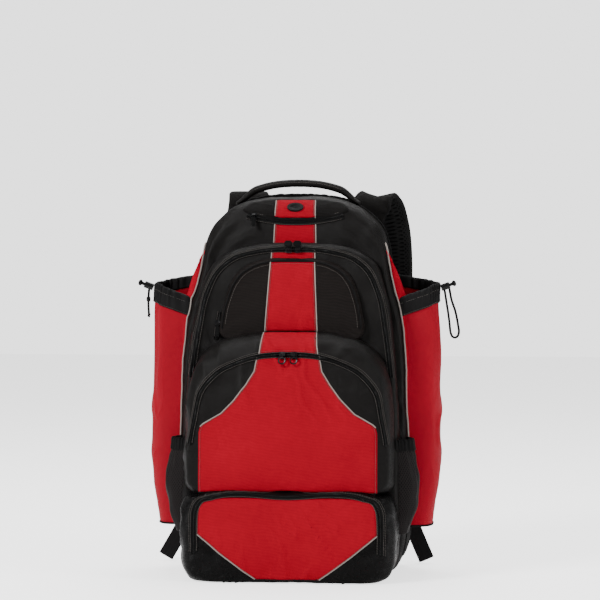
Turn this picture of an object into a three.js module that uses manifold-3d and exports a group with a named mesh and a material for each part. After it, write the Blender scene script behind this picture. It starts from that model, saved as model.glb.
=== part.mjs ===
// A tall sports backpack with open side sleeves, standing on its flat base.
// Millimetres, +Z up, the front faces -Y, and +X is the right-hand side seen from the front.
// The origin is at the middle of the base.
import * as THREE from 'three';
import { mergeVertices } from 'three/addons/utils/BufferGeometryUtils.js';
import Module from 'manifold-3d';

const wasm = await Module();
wasm.setup();

// Clearances and cloth
const GAP = 0.3;
const CLOTH_WALL = 2;
const PANEL_THICKNESS = 1;
const TAPE_THICKNESS = 1.6;
const CUT_PAST = 8;

// Main compartment
const BODY_HEIGHT = 595;
const BODY_HALF_WIDTH = 178;
const BACK_PLANE = 118;
const BACK_PANEL_THICKNESS = 14;
const BACK_PANEL_INSET = 1;
const BACK_ROLL = 5.6;
const MAIN_DEPTH = 116;
const MAIN_EDGE = 24;
const LEAN_START = 120;
const LEAN_POWER = 1.4;
const MAIN_LEAN = 50;

// Layers in front of the main compartment
const SECOND_DROP = 74;
const SECOND_HALF_WIDTH = 168;
const SECOND_DEPTH = 42;
const SECOND_LEAN = 70;
const ORGANIZER_HALF_WIDTH = 113;
const ORGANIZER_DROP = 23.4;
const ORGANIZER_DEPTH = 30;
const ORGANIZER_LEAN = 100;
const BOTTOM_HALF_WIDTH = 166;
const BOTTOM_HEIGHT = 138;
const BOTTOM_DEPTH = 56;
const FRONT_HALF_WIDTH = 162;
const FRONT_HEIGHT = 245;
const FRONT_DEPTH = 46;
const FRONT_EDGE = 40;
const FRONT_LEAN = 40;
const TOP_HALF_WIDTH = 84;
const TOP_POCKET_DROP = 35;
const TOP_POCKET_HEIGHT = 31;
const TOP_POCKET_RISE = 8;
const TOP_SLOPE = 0.62;

// Zips
const ZIP_WIDTH = 9;
const ZIP_SAG = 10;
const TOP_ZIP_HALF = 76;
const SIDE_ZIP_LENGTH = 43.2;
const SIDE_ZIP_INSET = 2.3;
const SIDE_ZIP_WIDTH = 8;
const SIDE_ZIP_RISE = 30.6;
const SIDE_ZIP_SWAY = 12.4;
const SIDE_ZIP_LEAN = 1.6;

// Coloured strip and gusset panels
const STRIP_MARGIN = 3;
const STRIP_TUCK = 12;
const STRIP_OVERLAP = 6;
const LEDGE_STRIP_DEPTH = 32;
const GUSSET_SETBACK = 1;

// Side sleeves and bottle pockets
const SLEEVE_OUT = 229;
const SLEEVE_BOTTOM = 76;
const SLEEVE_DEPTH = 90;
const SLEEVE_SETBACK = 5;
const SLEEVE_HEIGHT = 349;
const SLEEVE_REAR_RISE = 1.6;
const SLEEVE_CORNER_RISE = 1.15;
const HEM_DEPTH = 29;
const MESH_OUT = 201;
const MESH_BOTTOM = 70;
const MESH_HEIGHT = 146;
const MESH_SETBACK = 2;
const MESH_DEPTH = 52;
const ELASTIC_DEPTH = 17;
const SIDE_TUCK = 0.8;
const SIDE_PANEL_DEPTH = 58;
const SIDE_PANEL_DROP = 84;

// Carrying parts
const HANDLE_SPAN = 97;
const HANDLE_RISE = 22;
const HANDLE_SETBACK = 16;
const HANDLE_THICKNESS = 10;
const HANDLE_STEPS = 10;
const STRAP_WIDTH = 62;
const STRAP_THICKNESS = 11;
const WEBBING_WIDTH = 25;
const WEBBING_THICKNESS = 1.6;
const FRAME_WALL = 3.5;
const FRAME_HEIGHT = 24;
const FRAME_DEPTH = 5;
const FRAME_ROOM = 0.5;
const PAD_THICKNESS = 9;
const PAD_WIDTH = 88;
const PAD_HEIGHT = 400;
const PAD_BASE = 80;

// Small hardware
const BAR_RADIUS = 0.9;
const POST_SPACING = 3.4;
const POST_WIDTH = 1.6;
const POST_LENGTH = 2.4;
const NECK_THICKNESS = 1.8;
const PULL_FLOP = 180;
const EYE_RADIUS = 2.4;
const EYE_BORE = 1.4;
const SLIDER_WIDTH = 9;
const SLIDER_LENGTH = 11;
const SLIDER_THICKNESS = 3;
const RING_RADIUS = 5.2;
const RING_WIRE = 1.2;
const BULKY_PULL = { width: 12.5, length: 9.5, thickness: 4 };
const SLIM_PULL = { width: 6, length: 16, thickness: 2 };
const PORT_WIDTH = 26;
const PORT_HEIGHT = 16;
const PORT_THICKNESS = 4;
const PORT_BORE = 2;
const PORT_DISH = 2;
const LOCK_RADIUS = 5.5;
const LOCK_LENGTH = 14;
const LOCK_TRAVEL = 4;
const LOCK_TILT = 20;
const LOCK_DROP = 4;
const STEM_RADIUS = 2.6;
const CORD_RADIUS = 1.5;
const TAIL_LENGTH = 41;
const TAIL_SWAY = 1;
const TAIL_STEPS = 15;
const BEAD_RADIUS = 3.4;
const BEAD_SHARE = 0.36;

const MAIN_BACK = BACK_PLANE - BACK_PANEL_THICKNESS - GAP;
const MAIN_FRONT = MAIN_BACK - MAIN_DEPTH;
const SECOND_FRONT = MAIN_FRONT - SECOND_DEPTH;
const FRONT_POCKET_BOTTOM = BOTTOM_HEIGHT + GAP;
const LEDGE = FRONT_POCKET_BOTTOM + FRONT_HEIGHT;
const SECOND_HEIGHT = BODY_HEIGHT - SECOND_DROP;
const ORGANIZER_BOTTOM = LEDGE + GAP;
const ORGANIZER_TOP = SECOND_HEIGHT - ORGANIZER_DROP;
const TOP_POCKET_BASE = BODY_HEIGHT - TOP_POCKET_DROP;
const SIDE_PANEL_TOP = BODY_HEIGHT - SIDE_PANEL_DROP;
const WIDE = 2 * BODY_HEIGHT;

// Outlines: half a front view from the bottom centre up. "side" and "up" are shares of the
// half width and the height at the rear edge; "faceSide" and "faceUp" the same at the front edge.
const MAIN_OUTLINE = [
  { side: 0, up: 0, faceSide: 0, faceUp: 0.012 },
  { side: 0.77, up: 0, faceSide: 0.72, faceUp: 0.014 },
  { side: 0.89, up: 0.014, faceSide: 0.83, faceUp: 0.026 },
  { side: 0.96, up: 0.045, faceSide: 0.895, faceUp: 0.055 },
  { side: 1, up: 0.2, faceSide: 0.95, faceUp: 0.2 },
  { side: 0.995, up: 0.48, faceSide: 0.955, faceUp: 0.48 },
  { side: 0.975, up: 0.61, faceSide: 0.935, faceUp: 0.608 },
  { side: 0.94, up: 0.69, faceSide: 0.89, faceUp: 0.685 },
  { side: 0.89, up: 0.75, faceSide: 0.83, faceUp: 0.745 },
  { side: 0.84, up: 0.815, faceSide: 0.79, faceUp: 0.8 },
  { side: 0.81, up: 0.872, faceSide: 0.74, faceUp: 0.852 },
  { side: 0.77, up: 0.918, faceSide: 0.655, faceUp: 0.89 },
  { side: 0.68, up: 0.955, faceSide: 0.53, faceUp: 0.918 },
  { side: 0.53, up: 0.98, faceSide: 0.38, faceUp: 0.932 },
  { side: 0.28, up: 0.996, faceSide: 0.19, faceUp: 0.937 },
  { side: 0, up: 1, faceSide: 0, faceUp: 0.938 },
];
const SECOND_OUTLINE = [
  { side: 0, up: 0, faceSide: 0, faceUp: 0.018 },
  { side: 0.78, up: 0, faceSide: 0.73, faceUp: 0.02 },
  { side: 0.93, up: 0.022, faceSide: 0.87, faceUp: 0.038 },
  { side: 0.985, up: 0.08, faceSide: 0.94, faceUp: 0.09 },
  { side: 1, up: 0.2, faceSide: 0.955, faceUp: 0.2 },
  { side: 1, up: 0.44, faceSide: 0.955, faceUp: 0.44 },
  { side: 0.97, up: 0.625, faceSide: 0.915, faceUp: 0.625 },
  { side: 0.925, up: 0.75, faceSide: 0.865, faceUp: 0.745 },
  { side: 0.86, up: 0.865, faceSide: 0.8, faceUp: 0.85 },
  { side: 0.76, up: 0.94, faceSide: 0.69, faceUp: 0.92 },
  { side: 0.64, up: 0.97, faceSide: 0.57, faceUp: 0.952 },
  { side: 0.4, up: 0.994, faceSide: 0.33, faceUp: 0.975 },
  { side: 0, up: 1, faceSide: 0, faceUp: 0.981 },
];
const ORGANIZER_OUTLINE = [
  { side: 0, up: 0, faceSide: 0, faceUp: 0 },
  { side: 1, up: 0, faceSide: 0.94, faceUp: 0 },
  { side: 0.975, up: 0.25, faceSide: 0.92, faceUp: 0.25 },
  { side: 0.93, up: 0.46, faceSide: 0.87, faceUp: 0.45 },
  { side: 0.86, up: 0.66, faceSide: 0.8, faceUp: 0.63 },
  { side: 0.76, up: 0.82, faceSide: 0.69, faceUp: 0.78 },
  { side: 0.6, up: 0.93, faceSide: 0.53, faceUp: 0.88 },
  { side: 0.36, up: 0.99, faceSide: 0.31, faceUp: 0.94 },
  { side: 0, up: 1, faceSide: 0, faceUp: 0.955 },
];
const FRONT_OUTLINE = [
  { side: 0, up: 0, faceSide: 0, faceUp: 0.015 },
  { side: 0.92, up: 0, faceSide: 0.87, faceUp: 0.02 },
  { side: 0.985, up: 0.03, faceSide: 0.92, faceUp: 0.06 },
  { side: 1, up: 0.12, faceSide: 0.94, faceUp: 0.15 },
  { side: 1, up: 0.38, faceSide: 0.93, faceUp: 0.33 },
  { side: 0.985, up: 0.55, faceSide: 0.89, faceUp: 0.47 },
  { side: 0.96, up: 0.68, faceSide: 0.84, faceUp: 0.62 },
  { side: 0.91, up: 0.79, faceSide: 0.755, faceUp: 0.7 },
  { side: 0.83, up: 0.87, faceSide: 0.655, faceUp: 0.76 },
  { side: 0.68, up: 0.94, faceSide: 0.465, faceUp: 0.82 },
  { side: 0.45, up: 0.985, faceSide: 0.31, faceUp: 0.85 },
  { side: 0, up: 1, faceSide: 0, faceUp: 0.865 },
];
const BOTTOM_OUTLINE = [
  { side: 0, up: 0, faceSide: 0, faceUp: 0.05 },
  { side: 0.83, up: 0, faceSide: 0.76, faceUp: 0.06 },
  { side: 0.93, up: 0.06, faceSide: 0.83, faceUp: 0.13 },
  { side: 0.985, up: 0.19, faceSide: 0.86, faceUp: 0.26 },
  { side: 1, up: 0.4, faceSide: 0.865, faceUp: 0.45 },
  { side: 1, up: 0.72, faceSide: 0.865, faceUp: 0.74 },
  { side: 0.985, up: 0.88, faceSide: 0.85, faceUp: 0.87 },
  { side: 0.94, up: 0.97, faceSide: 0.8, faceUp: 0.945 },
  { side: 0.85, up: 1, faceSide: 0.72, faceUp: 0.965 },
  { side: 0, up: 1, faceSide: 0, faceUp: 0.975 },
];
const TOP_OUTLINE = [
  { side: 0, up: 0, faceSide: 0, faceUp: 0.12 },
  { side: 0.5, up: 0.06, faceSide: 0.44, faceUp: 0.17 },
  { side: 0.88, up: 0.2, faceSide: 0.8, faceUp: 0.3 },
  { side: 1, up: 0.42, faceSide: 0.9, faceUp: 0.47 },
  { side: 0.93, up: 0.68, faceSide: 0.84, faceUp: 0.68 },
  { side: 0.66, up: 0.9, faceSide: 0.6, faceUp: 0.84 },
  { side: 0.32, up: 0.99, faceSide: 0.3, faceUp: 0.9 },
  { side: 0, up: 1, faceSide: 0, faceUp: 0.92 },
];

// Raised folds of the slack cloth, as shares of the form that carries them.
// "lean" is the tilt of the fold from upright in degrees.
const MAIN_FOLDS = [
  { side: 0.63, up: 0.875, lean: 32, length: 0.075, width: 0.03, rise: 0.05 },
  { side: -0.63, up: 0.875, lean: -32, length: 0.075, width: 0.03, rise: 0.05 },
];
const BOTTOM_FOLDS = [
  { side: 0.8, up: 0.25, lean: 51, length: 0.17, width: 0.045, rise: 0.03 },
  { side: -0.8, up: 0.25, lean: -51, length: 0.17, width: 0.045, rise: 0.03 },
];

// Outer bulge of the side sleeves and bottle pockets: "up" is a share of the height and
// "out" a share of the reach beyond the inner edge.
const SLEEVE_BULGE = [
  { up: 0, out: 0.8 },
  { up: 0.06, out: 0.95 },
  { up: 0.45, out: 1 },
  { up: 0.85, out: 0.97 },
  { up: 1, out: 0.94 },
];
const MESH_BULGE = [
  { up: 0, out: 0.62 },
  { up: 0.2, out: 0.88 },
  { up: 0.55, out: 1 },
  { up: 0.86, out: 0.8 },
  { up: 1, out: 0.7 },
];

// Red panel outlines, half a front view: "side" and "up" as shares of the pocket below them.
const FRONT_PANEL_OUTLINE = [
  { side: 0.852, up: 0.004 },
  { side: 0.852, up: 0.38 },
  { side: 0.83, up: 0.424 },
  { side: 0.636, up: 0.498 },
  { side: 0.519, up: 0.576 },
  { side: 0.401, up: 0.678 },
  { side: 0.321, up: 0.763 },
  { side: 0.296, up: 0.86 },
];
const BOTTOM_PANEL_OUTLINE = [
  { side: 0.3, up: 0.05 },
  { side: 0.385, up: 0.12 },
  { side: 0.6, up: 0.31 },
  { side: 0.845, up: 0.55 },
  { side: 0.845, up: 0.86 },
  { side: 0.8, up: 0.96 },
];

// Half widths of the red centre strip at heights above the base, as shares of the body.
const STRIP_EDGE = [
  { up: 0.56, half: 0.27 },
  { up: 0.645, half: 0.23 },
  { up: 0.83, half: 0.194 },
  { up: 0.925, half: 0.182 },
  { up: 1, half: 0.174 },
];

// Red side gusset: "up" is a share of its height and "deep" of its full depth
const GUSSET_WIDTHS = [
  { up: 0.06, deep: 0.7 },
  { up: 0.14, deep: 1 },
  { up: 0.5, deep: 1 },
  { up: 0.8, deep: 0.9 },
  { up: 0.92, deep: 0.5 },
  { up: 1, deep: 0.05 },
];
const PAD_OUTLINE = [
  { side: 0, up: 0, faceSide: 0, faceUp: 0.03 },
  { side: 0.7, up: 0.01, faceSide: 0.6, faceUp: 0.04 },
  { side: 1, up: 0.08, faceSide: 0.84, faceUp: 0.1 },
  { side: 1, up: 0.9, faceSide: 0.84, faceUp: 0.88 },
  { side: 0.7, up: 0.99, faceSide: 0.6, faceUp: 0.96 },
  { side: 0, up: 1, faceSide: 0, faceUp: 0.97 },
];

// The free loop of cord at the right lock, in millimetres out from and up from its centre
const LOOP_ROUTE = [
  { out: -1, up: -7.3 },
  { out: 1, up: -20.2 },
  { out: 2.7, up: -31 },
  { out: 4.5, up: -42.2 },
  { out: 5.9, up: -52.5 },
  { out: 7, up: -62.2 },
  { out: 9, up: -75.2 },
  { out: 11.3, up: -79.7 },
  { out: 15, up: -81.2 },
  { out: 18.9, up: -79.6 },
  { out: 21, up: -75.2 },
  { out: 20, up: -60.2 },
  { out: 18.2, up: -50 },
  { out: 16, up: -40.2 },
  { out: 9.5, up: -20.2 },
  { out: 6.5, up: -4.6 },
];

const smooth = THREE.MathUtils.smoothstep;
const lerp = THREE.MathUtils.lerp;
const leanShare = (z) => Math.max(0, (z - LEAN_START) / (BODY_HEIGHT - LEAN_START)) ** LEAN_POWER;

// Manifold solids from three.js geometry and back
function solidOf(geometry) {
  const bare = geometry.clone();
  bare.deleteAttribute('normal');
  bare.deleteAttribute('uv');
  const merged = mergeVertices(bare, 1e-3);
  return new wasm.Manifold(new wasm.Mesh({
    numProp: 3,
    vertProperties: new Float32Array(merged.attributes.position.array),
    triVerts: new Uint32Array(merged.index.array),
  }));
}

function geometryOf(solid) {
  const { vertProperties, triVerts, numProp } = solid.getMesh();
  const geometry = new THREE.BufferGeometry();
  const positions = new Float32Array((vertProperties.length / numProp) * 3);
  for (let i = 0; i < positions.length / 3; i += 1) {
    positions.set(vertProperties.subarray(i * numProp, i * numProp + 3), i * 3);
  }
  geometry.setAttribute('position', new THREE.BufferAttribute(positions, 3));
  geometry.setIndex([...triVerts]);
  geometry.computeVertexNormals();
  return geometry;
}

// A closed body through rings of equal length, with a fan to a centre point at both ends.
function loft(rings, startCentre, endCentre) {
  const count = rings[0].length;
  const positions = rings.flat().flatMap((point) => [...point]);
  positions.push(...startCentre, ...endCentre);
  const first = rings.length * count;
  const faces = [];
  for (let r = 0; r < rings.length - 1; r += 1) {
    for (let i = 0; i < count; i += 1) {
      const a = r * count + i;
      const b = r * count + ((i + 1) % count);
      faces.push(a, b, b + count, a, b + count, a + count);
    }
  }
  for (let i = 0; i < count; i += 1) {
    const next = (i + 1) % count;
    const last = (rings.length - 1) * count;
    faces.push(first, next, i, first + 1, last + i, last + next);
  }
  const geometry = new THREE.BufferGeometry();
  geometry.setAttribute('position', new THREE.Float32BufferAttribute(positions, 3));
  geometry.setIndex(faces);
  if (signedVolume(geometry) < 0) {
    geometry.setIndex(faces.reverse());
  }
  return solidOf(geometry);
}

function signedVolume(geometry) {
  const point = geometry.attributes.position;
  const index = geometry.index.array;
  const [a, b, c] = [new THREE.Vector3(), new THREE.Vector3(), new THREE.Vector3()];
  let sum = 0;
  for (let i = 0; i < index.length; i += 3) {
    a.fromBufferAttribute(point, index[i]);
    b.fromBufferAttribute(point, index[i + 1]);
    c.fromBufferAttribute(point, index[i + 2]);
    sum += a.dot(b.cross(c));
  }
  return sum;
}

const middleOf = (ring) => {
  const sum = ring.reduce((total, p) => total.map((value, k) => value + p[k]), [0, 0, 0]);
  return sum.map((value) => value / ring.length);
};

// Half an outline mirrored into a closed ring of [x, z] points
function mirrored(half) {
  const left = half.filter(([x]) => x > 0).map(([x, z]) => [-x, z]).reverse();
  return [...half, ...left];
}

function offsetRing(ring, distance) {
  return ring.map(([x, z], i) => {
    const [px, pz] = ring[(i + ring.length - 1) % ring.length];
    const [nx, nz] = ring[(i + 1) % ring.length];
    const inward = new THREE.Vector2(z - pz, px - x).normalize();
    const outward = new THREE.Vector2(nz - z, x - nx).normalize();
    const normal = inward.clone().add(outward).normalize();
    const reach = distance / Math.max(0.6, normal.dot(inward));
    return [x + normal.x * reach, z + normal.y * reach];
  });
}

// A soft pouch: rear outline, rounded edge, and a face that bulges and leans back with height
const EDGE_STEPS = [0.42, 1];

function outlineOf(form, side, up) {
  const half = form.rows.map((row) => [row[side] * form.halfWidth, form.bottom + row[up] * form.height]);
  return mirrored(half);
}

function pouch(form, grow = 0) {
  const base = offsetRing(outlineOf(form, 'side', 'up'), grow);
  const face = offsetRing(outlineOf(form, 'faceSide', 'faceUp'), grow);
  const back = form.back + (grow < 0 ? CUT_PAST : 0);
  const rings = [
    base.map(([x, z]) => [x, back, z]),
    base.map(([x, z]) => [x, form.front(z) + form.edge - grow, z]),
  ];
  for (const step of EDGE_STEPS) {
    const turn = step * Math.PI * 0.5;
    rings.push(base.map(([bx, bz], i) => {
      const x = lerp(bx, face[i][0], 1 - Math.cos(turn));
      const z = lerp(bz, face[i][1], 1 - Math.cos(turn));
      return [x, form.front(z) + form.edge * (1 - Math.sin(turn)) - grow, z];
    }));
  }
  const centre = form.bottom + form.height * 0.5;
  for (const share of form.faceSteps) {
    rings.push(face.map(([fx, fz]) => {
      const z = lerp(centre, fz, share);
      return [fx * share, form.front(z) - form.crown * (1 - share * share) - grow, z];
    }));
  }
  return loft(rings, [0, back, centre], [0, form.front(centre) - form.crown - grow, centre]);
}

// A body of a closed [x, z] ring, between two depths
function prism(ring, yFront, yBack) {
  const shape = new THREE.Shape(ring.map(([x, z]) => new THREE.Vector2(x, z)));
  const geometry = new THREE.ExtrudeGeometry(shape, { depth: yBack - yFront, bevelEnabled: false });
  return solidOf(geometry.rotateX(Math.PI / 2).translate(0, yBack, 0));
}

function block(sizeX, sizeY, sizeZ, x, y, z) {
  return solidOf(new THREE.BoxGeometry(sizeX, sizeY, sizeZ).translate(x, y, z));
}

// Cloth laid on a form: the shell between two offsets of the form, inside a front-view ring
function laidOn(form, ring, thickness = PANEL_THICKNESS) {
  const skin = pouch(form, GAP + thickness).subtract(pouch(form, GAP));
  return skin.intersect(prism(ring, -WIDE, form.back));
}

function cup(form, neighbours) {
  let shell = pouch(form).subtract(pouch(form, -CLOTH_WALL));
  for (const neighbour of neighbours) {
    shell = shell.subtract(pouch(neighbour, GAP));
  }
  return shell;
}

// A flattened ridge of slack cloth lying on the face of a form
function ridges(form, folds) {
  return folds.map((fold) => {
    const x = fold.side * form.halfWidth;
    const z = form.bottom + fold.up * form.height;
    const seat = seatOn(pouch(form), x, z);
    const ball = new THREE.SphereGeometry(1, 7, 5);
    ball.scale(fold.width * form.halfWidth, fold.rise * form.halfWidth, fold.length * form.height);
    ball.rotateY(THREE.MathUtils.degToRad(-fold.lean));
    ball.translate(seat.point.x, seat.point.y, seat.point.z);
    return solidOf(ball);
  });
}

// Where a ray along +Y first meets a solid, and the tilt of the surface there about X
function seatOn(solid, x, z) {
  const target = new THREE.Mesh(geometryOf(solid), new THREE.MeshBasicMaterial({ side: THREE.DoubleSide }));
  const ray = new THREE.Raycaster(new THREE.Vector3(x, -WIDE, z), new THREE.Vector3(0, 1, 0));
  const [hit] = ray.intersectObject(target);
  return { point: hit.point, tilt: Math.atan2(hit.face.normal.z, Math.abs(hit.face.normal.y)) };
}

// The layers
const mainForm = {
  rows: MAIN_OUTLINE,
  halfWidth: BODY_HALF_WIDTH,
  bottom: 0,
  height: BODY_HEIGHT,
  back: MAIN_BACK,
  edge: MAIN_EDGE,
  crown: 3,
  faceSteps: [],
  front: (z) => MAIN_FRONT + MAIN_LEAN * leanShare(z),
};
const secondForm = {
  rows: SECOND_OUTLINE,
  halfWidth: SECOND_HALF_WIDTH,
  bottom: 0,
  height: SECOND_HEIGHT,
  back: MAIN_FRONT + MAIN_LEAN + CUT_PAST,
  edge: 13,
  crown: 4,
  faceSteps: [],
  front: (z) => SECOND_FRONT + SECOND_LEAN * leanShare(z),
};
const bottomForm = {
  rows: BOTTOM_OUTLINE,
  halfWidth: BOTTOM_HALF_WIDTH,
  bottom: 0,
  height: BOTTOM_HEIGHT,
  back: SECOND_FRONT + CUT_PAST + secondForm.edge,
  edge: 22,
  crown: 6,
  faceSteps: [0.6],
  front: () => SECOND_FRONT - BOTTOM_DEPTH,
};
const frontForm = {
  rows: FRONT_OUTLINE,
  halfWidth: FRONT_HALF_WIDTH,
  bottom: FRONT_POCKET_BOTTOM,
  height: FRONT_HEIGHT,
  back: SECOND_FRONT + SECOND_LEAN * 0.5,
  edge: FRONT_EDGE,
  crown: 9,
  faceSteps: [0.6],
  front: (z) => SECOND_FRONT - FRONT_DEPTH + FRONT_LEAN * leanShare(z),
};
const organizerForm = {
  rows: ORGANIZER_OUTLINE,
  halfWidth: ORGANIZER_HALF_WIDTH,
  bottom: ORGANIZER_BOTTOM,
  height: ORGANIZER_TOP - ORGANIZER_BOTTOM,
  back: SECOND_FRONT + SECOND_LEAN,
  edge: 8,
  crown: 4,
  faceSteps: [0.6],
  front: (z) => SECOND_FRONT - ORGANIZER_DEPTH + ORGANIZER_LEAN * leanShare(z),
};
const topForm = {
  rows: TOP_OUTLINE,
  halfWidth: TOP_HALF_WIDTH,
  bottom: TOP_POCKET_BASE,
  height: TOP_POCKET_HEIGHT,
  back: MAIN_FRONT + MAIN_LEAN + 2 * MAIN_EDGE,
  edge: 5,
  crown: 3,
  faceSteps: [],
  front: (z) => MAIN_FRONT + MAIN_LEAN - TOP_POCKET_RISE + TOP_SLOPE * (z - TOP_POCKET_BASE),
};

const meshes = [];
const fabricBlack = { color: 0x23201f, roughness: 0.82, metalness: 0 };
const fabricRed = { color: 0xc1121f, roughness: 0.75, metalness: 0 };
const hardBlack = { color: 0x141414, roughness: 0.4, metalness: 0 };
const webbingBlack = { color: 0x1b1b1c, roughness: 0.7, metalness: 0 };
const metalDark = { color: 0x2c2c2e, roughness: 0.35, metalness: 0.6 };

function piece(name, solid, look) {
  const mesh = new THREE.Mesh(geometryOf(solid), new THREE.MeshStandardMaterial(look));
  mesh.name = name;
  meshes.push(mesh);
}

const sides = [
  { name: 'left', sign: -1 },
  { name: 'right', sign: 1 },
];

// Main compartment, padded back and red side gussets
function ridged(shell, form, folds, behind) {
  let result = shell;
  for (const ridge of ridges(form, folds)) {
    result = result.add(ridge.subtract(pouch(form, -behind)));
  }
  return result;
}

const mainShell = ridged(cup(mainForm, []), mainForm, MAIN_FOLDS, CLOTH_WALL / 2);
piece('main_compartment', mainShell, fabricBlack);

const backRing = offsetRing(outlineOf(mainForm, 'side', 'up'), -BACK_PANEL_INSET);
const backInset = offsetRing(backRing, -BACK_ROLL);
const backRings = [
  backRing.map(([x, z]) => [x, MAIN_BACK + GAP, Math.max(z, GAP)]),
  backRing.map(([x, z]) => [x, BACK_PLANE - BACK_ROLL, Math.max(z, GAP)]),
  backInset.map(([x, z]) => [x, BACK_PLANE, z]),
];
const backCentre = BODY_HEIGHT / 2;
const backPanel = loft(backRings, [0, MAIN_BACK + GAP, backCentre], [0, BACK_PLANE, backCentre]);
piece('back_panel', backPanel, fabricBlack);

for (const { name, sign } of sides) {
  const pad = {
    rows: PAD_OUTLINE,
    halfWidth: PAD_WIDTH / 2,
    bottom: PAD_BASE,
    height: PAD_HEIGHT,
    back: PAD_THICKNESS,
    edge: PAD_THICKNESS - 1,
    crown: 1,
    faceSteps: [],
    front: () => 0,
  };
  const turned = pouch(pad).rotate([0, 0, 180]);
  const across = sign * (PAD_WIDTH / 2 + PAD_THICKNESS);
  piece(`back_pad_${name}`, turned.translate([across, BACK_PLANE + GAP + PAD_THICKNESS, 0]), fabricBlack);
}

function sidePanel(sign) {
  const skin = pouch(mainForm, GAP + PANEL_THICKNESS).subtract(pouch(mainForm, GAP));
  const edge = (row, deep) => {
    const z = row.up * SIDE_PANEL_TOP;
    return [mainForm.front(z) + GUSSET_SETBACK + deep * SIDE_PANEL_DEPTH, z];
  };
  const frontEdge = GUSSET_WIDTHS.map((row) => edge(row, 0));
  const backEdge = GUSSET_WIDTHS.map((row) => edge(row, row.deep));
  const cutter = prism([...frontEdge, ...backEdge.reverse()], -WIDE, 0);
  const turned = cutter.rotate([0, 0, 90]);
  const placed = sign > 0 ? turned : turned.mirror([1, 0, 0]);
  return skin.intersect(placed).subtract(pouch(secondForm, GAP));
}
for (const { name, sign } of sides) {
  piece(`side_panel_${name}`, sidePanel(sign), fabricRed);
}

// The pockets, each a thin shell open towards the layer behind it
piece('second_compartment', cup(secondForm, [mainForm]), fabricBlack);
const bottomShell = ridged(cup(bottomForm, [secondForm]), bottomForm, BOTTOM_FOLDS, CLOTH_WALL / 2);
piece('bottom_pocket', bottomShell, fabricBlack);
piece('front_pocket', cup(frontForm, [secondForm]), fabricBlack);
piece('organizer_pocket', cup(organizerForm, [secondForm]), fabricBlack);
piece('top_pocket', cup(topForm, [mainForm]), fabricBlack);

// Zips: a band along the front edge of a pocket, above the height where the tape ends
function bandOf(form, grow = 0) {
  const face = outlineOf(form, 'faceSide', 'faceUp');
  const outer = prism(offsetRing(face, ZIP_WIDTH / 2 + grow), -WIDE, form.back);
  const inner = prism(offsetRing(face, -ZIP_WIDTH / 2 - grow), -WIDE, form.back);
  return outer.subtract(inner);
}

function edgeZip(form, endUp, neighbours) {
  const z = form.bottom + endUp * form.height;
  const skin = pouch(form, GAP + TAPE_THICKNESS).subtract(pouch(form, GAP));
  const above = block(WIDE, WIDE, WIDE, 0, 0, z + WIDE / 2);
  const band = skin.intersect(bandOf(form)).intersect(above);
  return neighbours.reduce((rest, neighbour) => rest.subtract(pouch(neighbour, GAP)), band);
}

const stripHalf = (z) => {
  const up = z / BODY_HEIGHT;
  const next = Math.max(1, STRIP_EDGE.findIndex((row) => row.up >= up));
  const [low, high] = [STRIP_EDGE[next - 1], STRIP_EDGE[next]];
  return lerp(low.half, high.half, (up - low.up) / (high.up - low.up)) * BODY_HALF_WIDTH;
};
const stripRing = (from, to) => [
  [stripHalf(from), from], [stripHalf(to), to], [-stripHalf(to), to], [-stripHalf(from), from],
];

const mainZip = edgeZip(secondForm, 0.6, [mainForm, frontForm]);
const frontZip = edgeZip(frontForm, 0.3, [secondForm]);
const bottomZip = edgeZip(bottomForm, 0.55, [secondForm, frontForm]);
piece('main_zip', mainZip, webbingBlack);
piece('front_zip', frontZip, webbingBlack);
piece('bottom_zip', bottomZip, webbingBlack);

const zipSag = (x) => ZIP_SAG * (x / TOP_ZIP_HALF) ** 2;
const topZipBase = TOP_POCKET_BASE - ZIP_WIDTH - GAP * 2;
const SMILE_STEPS = 8;
const smile = Array.from({ length: SMILE_STEPS + 1 }, (_, i) => (2 * i / SMILE_STEPS - 1) * TOP_ZIP_HALF);
const topZipRing = [
  ...smile.map((x) => [x, topZipBase + zipSag(x)]),
  ...smile.map((x) => [x, topZipBase + ZIP_WIDTH + zipSag(x)]).reverse(),
];
const topZip = laidOn(mainForm, topZipRing, TAPE_THICKNESS).subtract(pouch(topForm, GAP));
piece('top_zip', topZip, webbingBlack);

const sideZipTop = [-ORGANIZER_HALF_WIDTH + SIDE_ZIP_INSET, LEDGE + SIDE_ZIP_RISE];
const sideZipFoot = [sideZipTop[0] - SIDE_ZIP_SWAY, sideZipTop[1] - SIDE_ZIP_LENGTH];
const sideZipRing = [
  sideZipFoot,
  [sideZipFoot[0] + SIDE_ZIP_WIDTH, sideZipFoot[1]],
  [sideZipTop[0] + SIDE_ZIP_LEAN, sideZipTop[1]],
  [sideZipTop[0] + SIDE_ZIP_LEAN - SIDE_ZIP_WIDTH, sideZipTop[1]],
];
const sideZip = laidOn(secondForm, sideZipRing, TAPE_THICKNESS)
  .subtract(pouch(organizerForm, GAP))
  .subtract(pouch(frontForm, GAP));
piece('side_zip', sideZip, webbingBlack);

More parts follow.
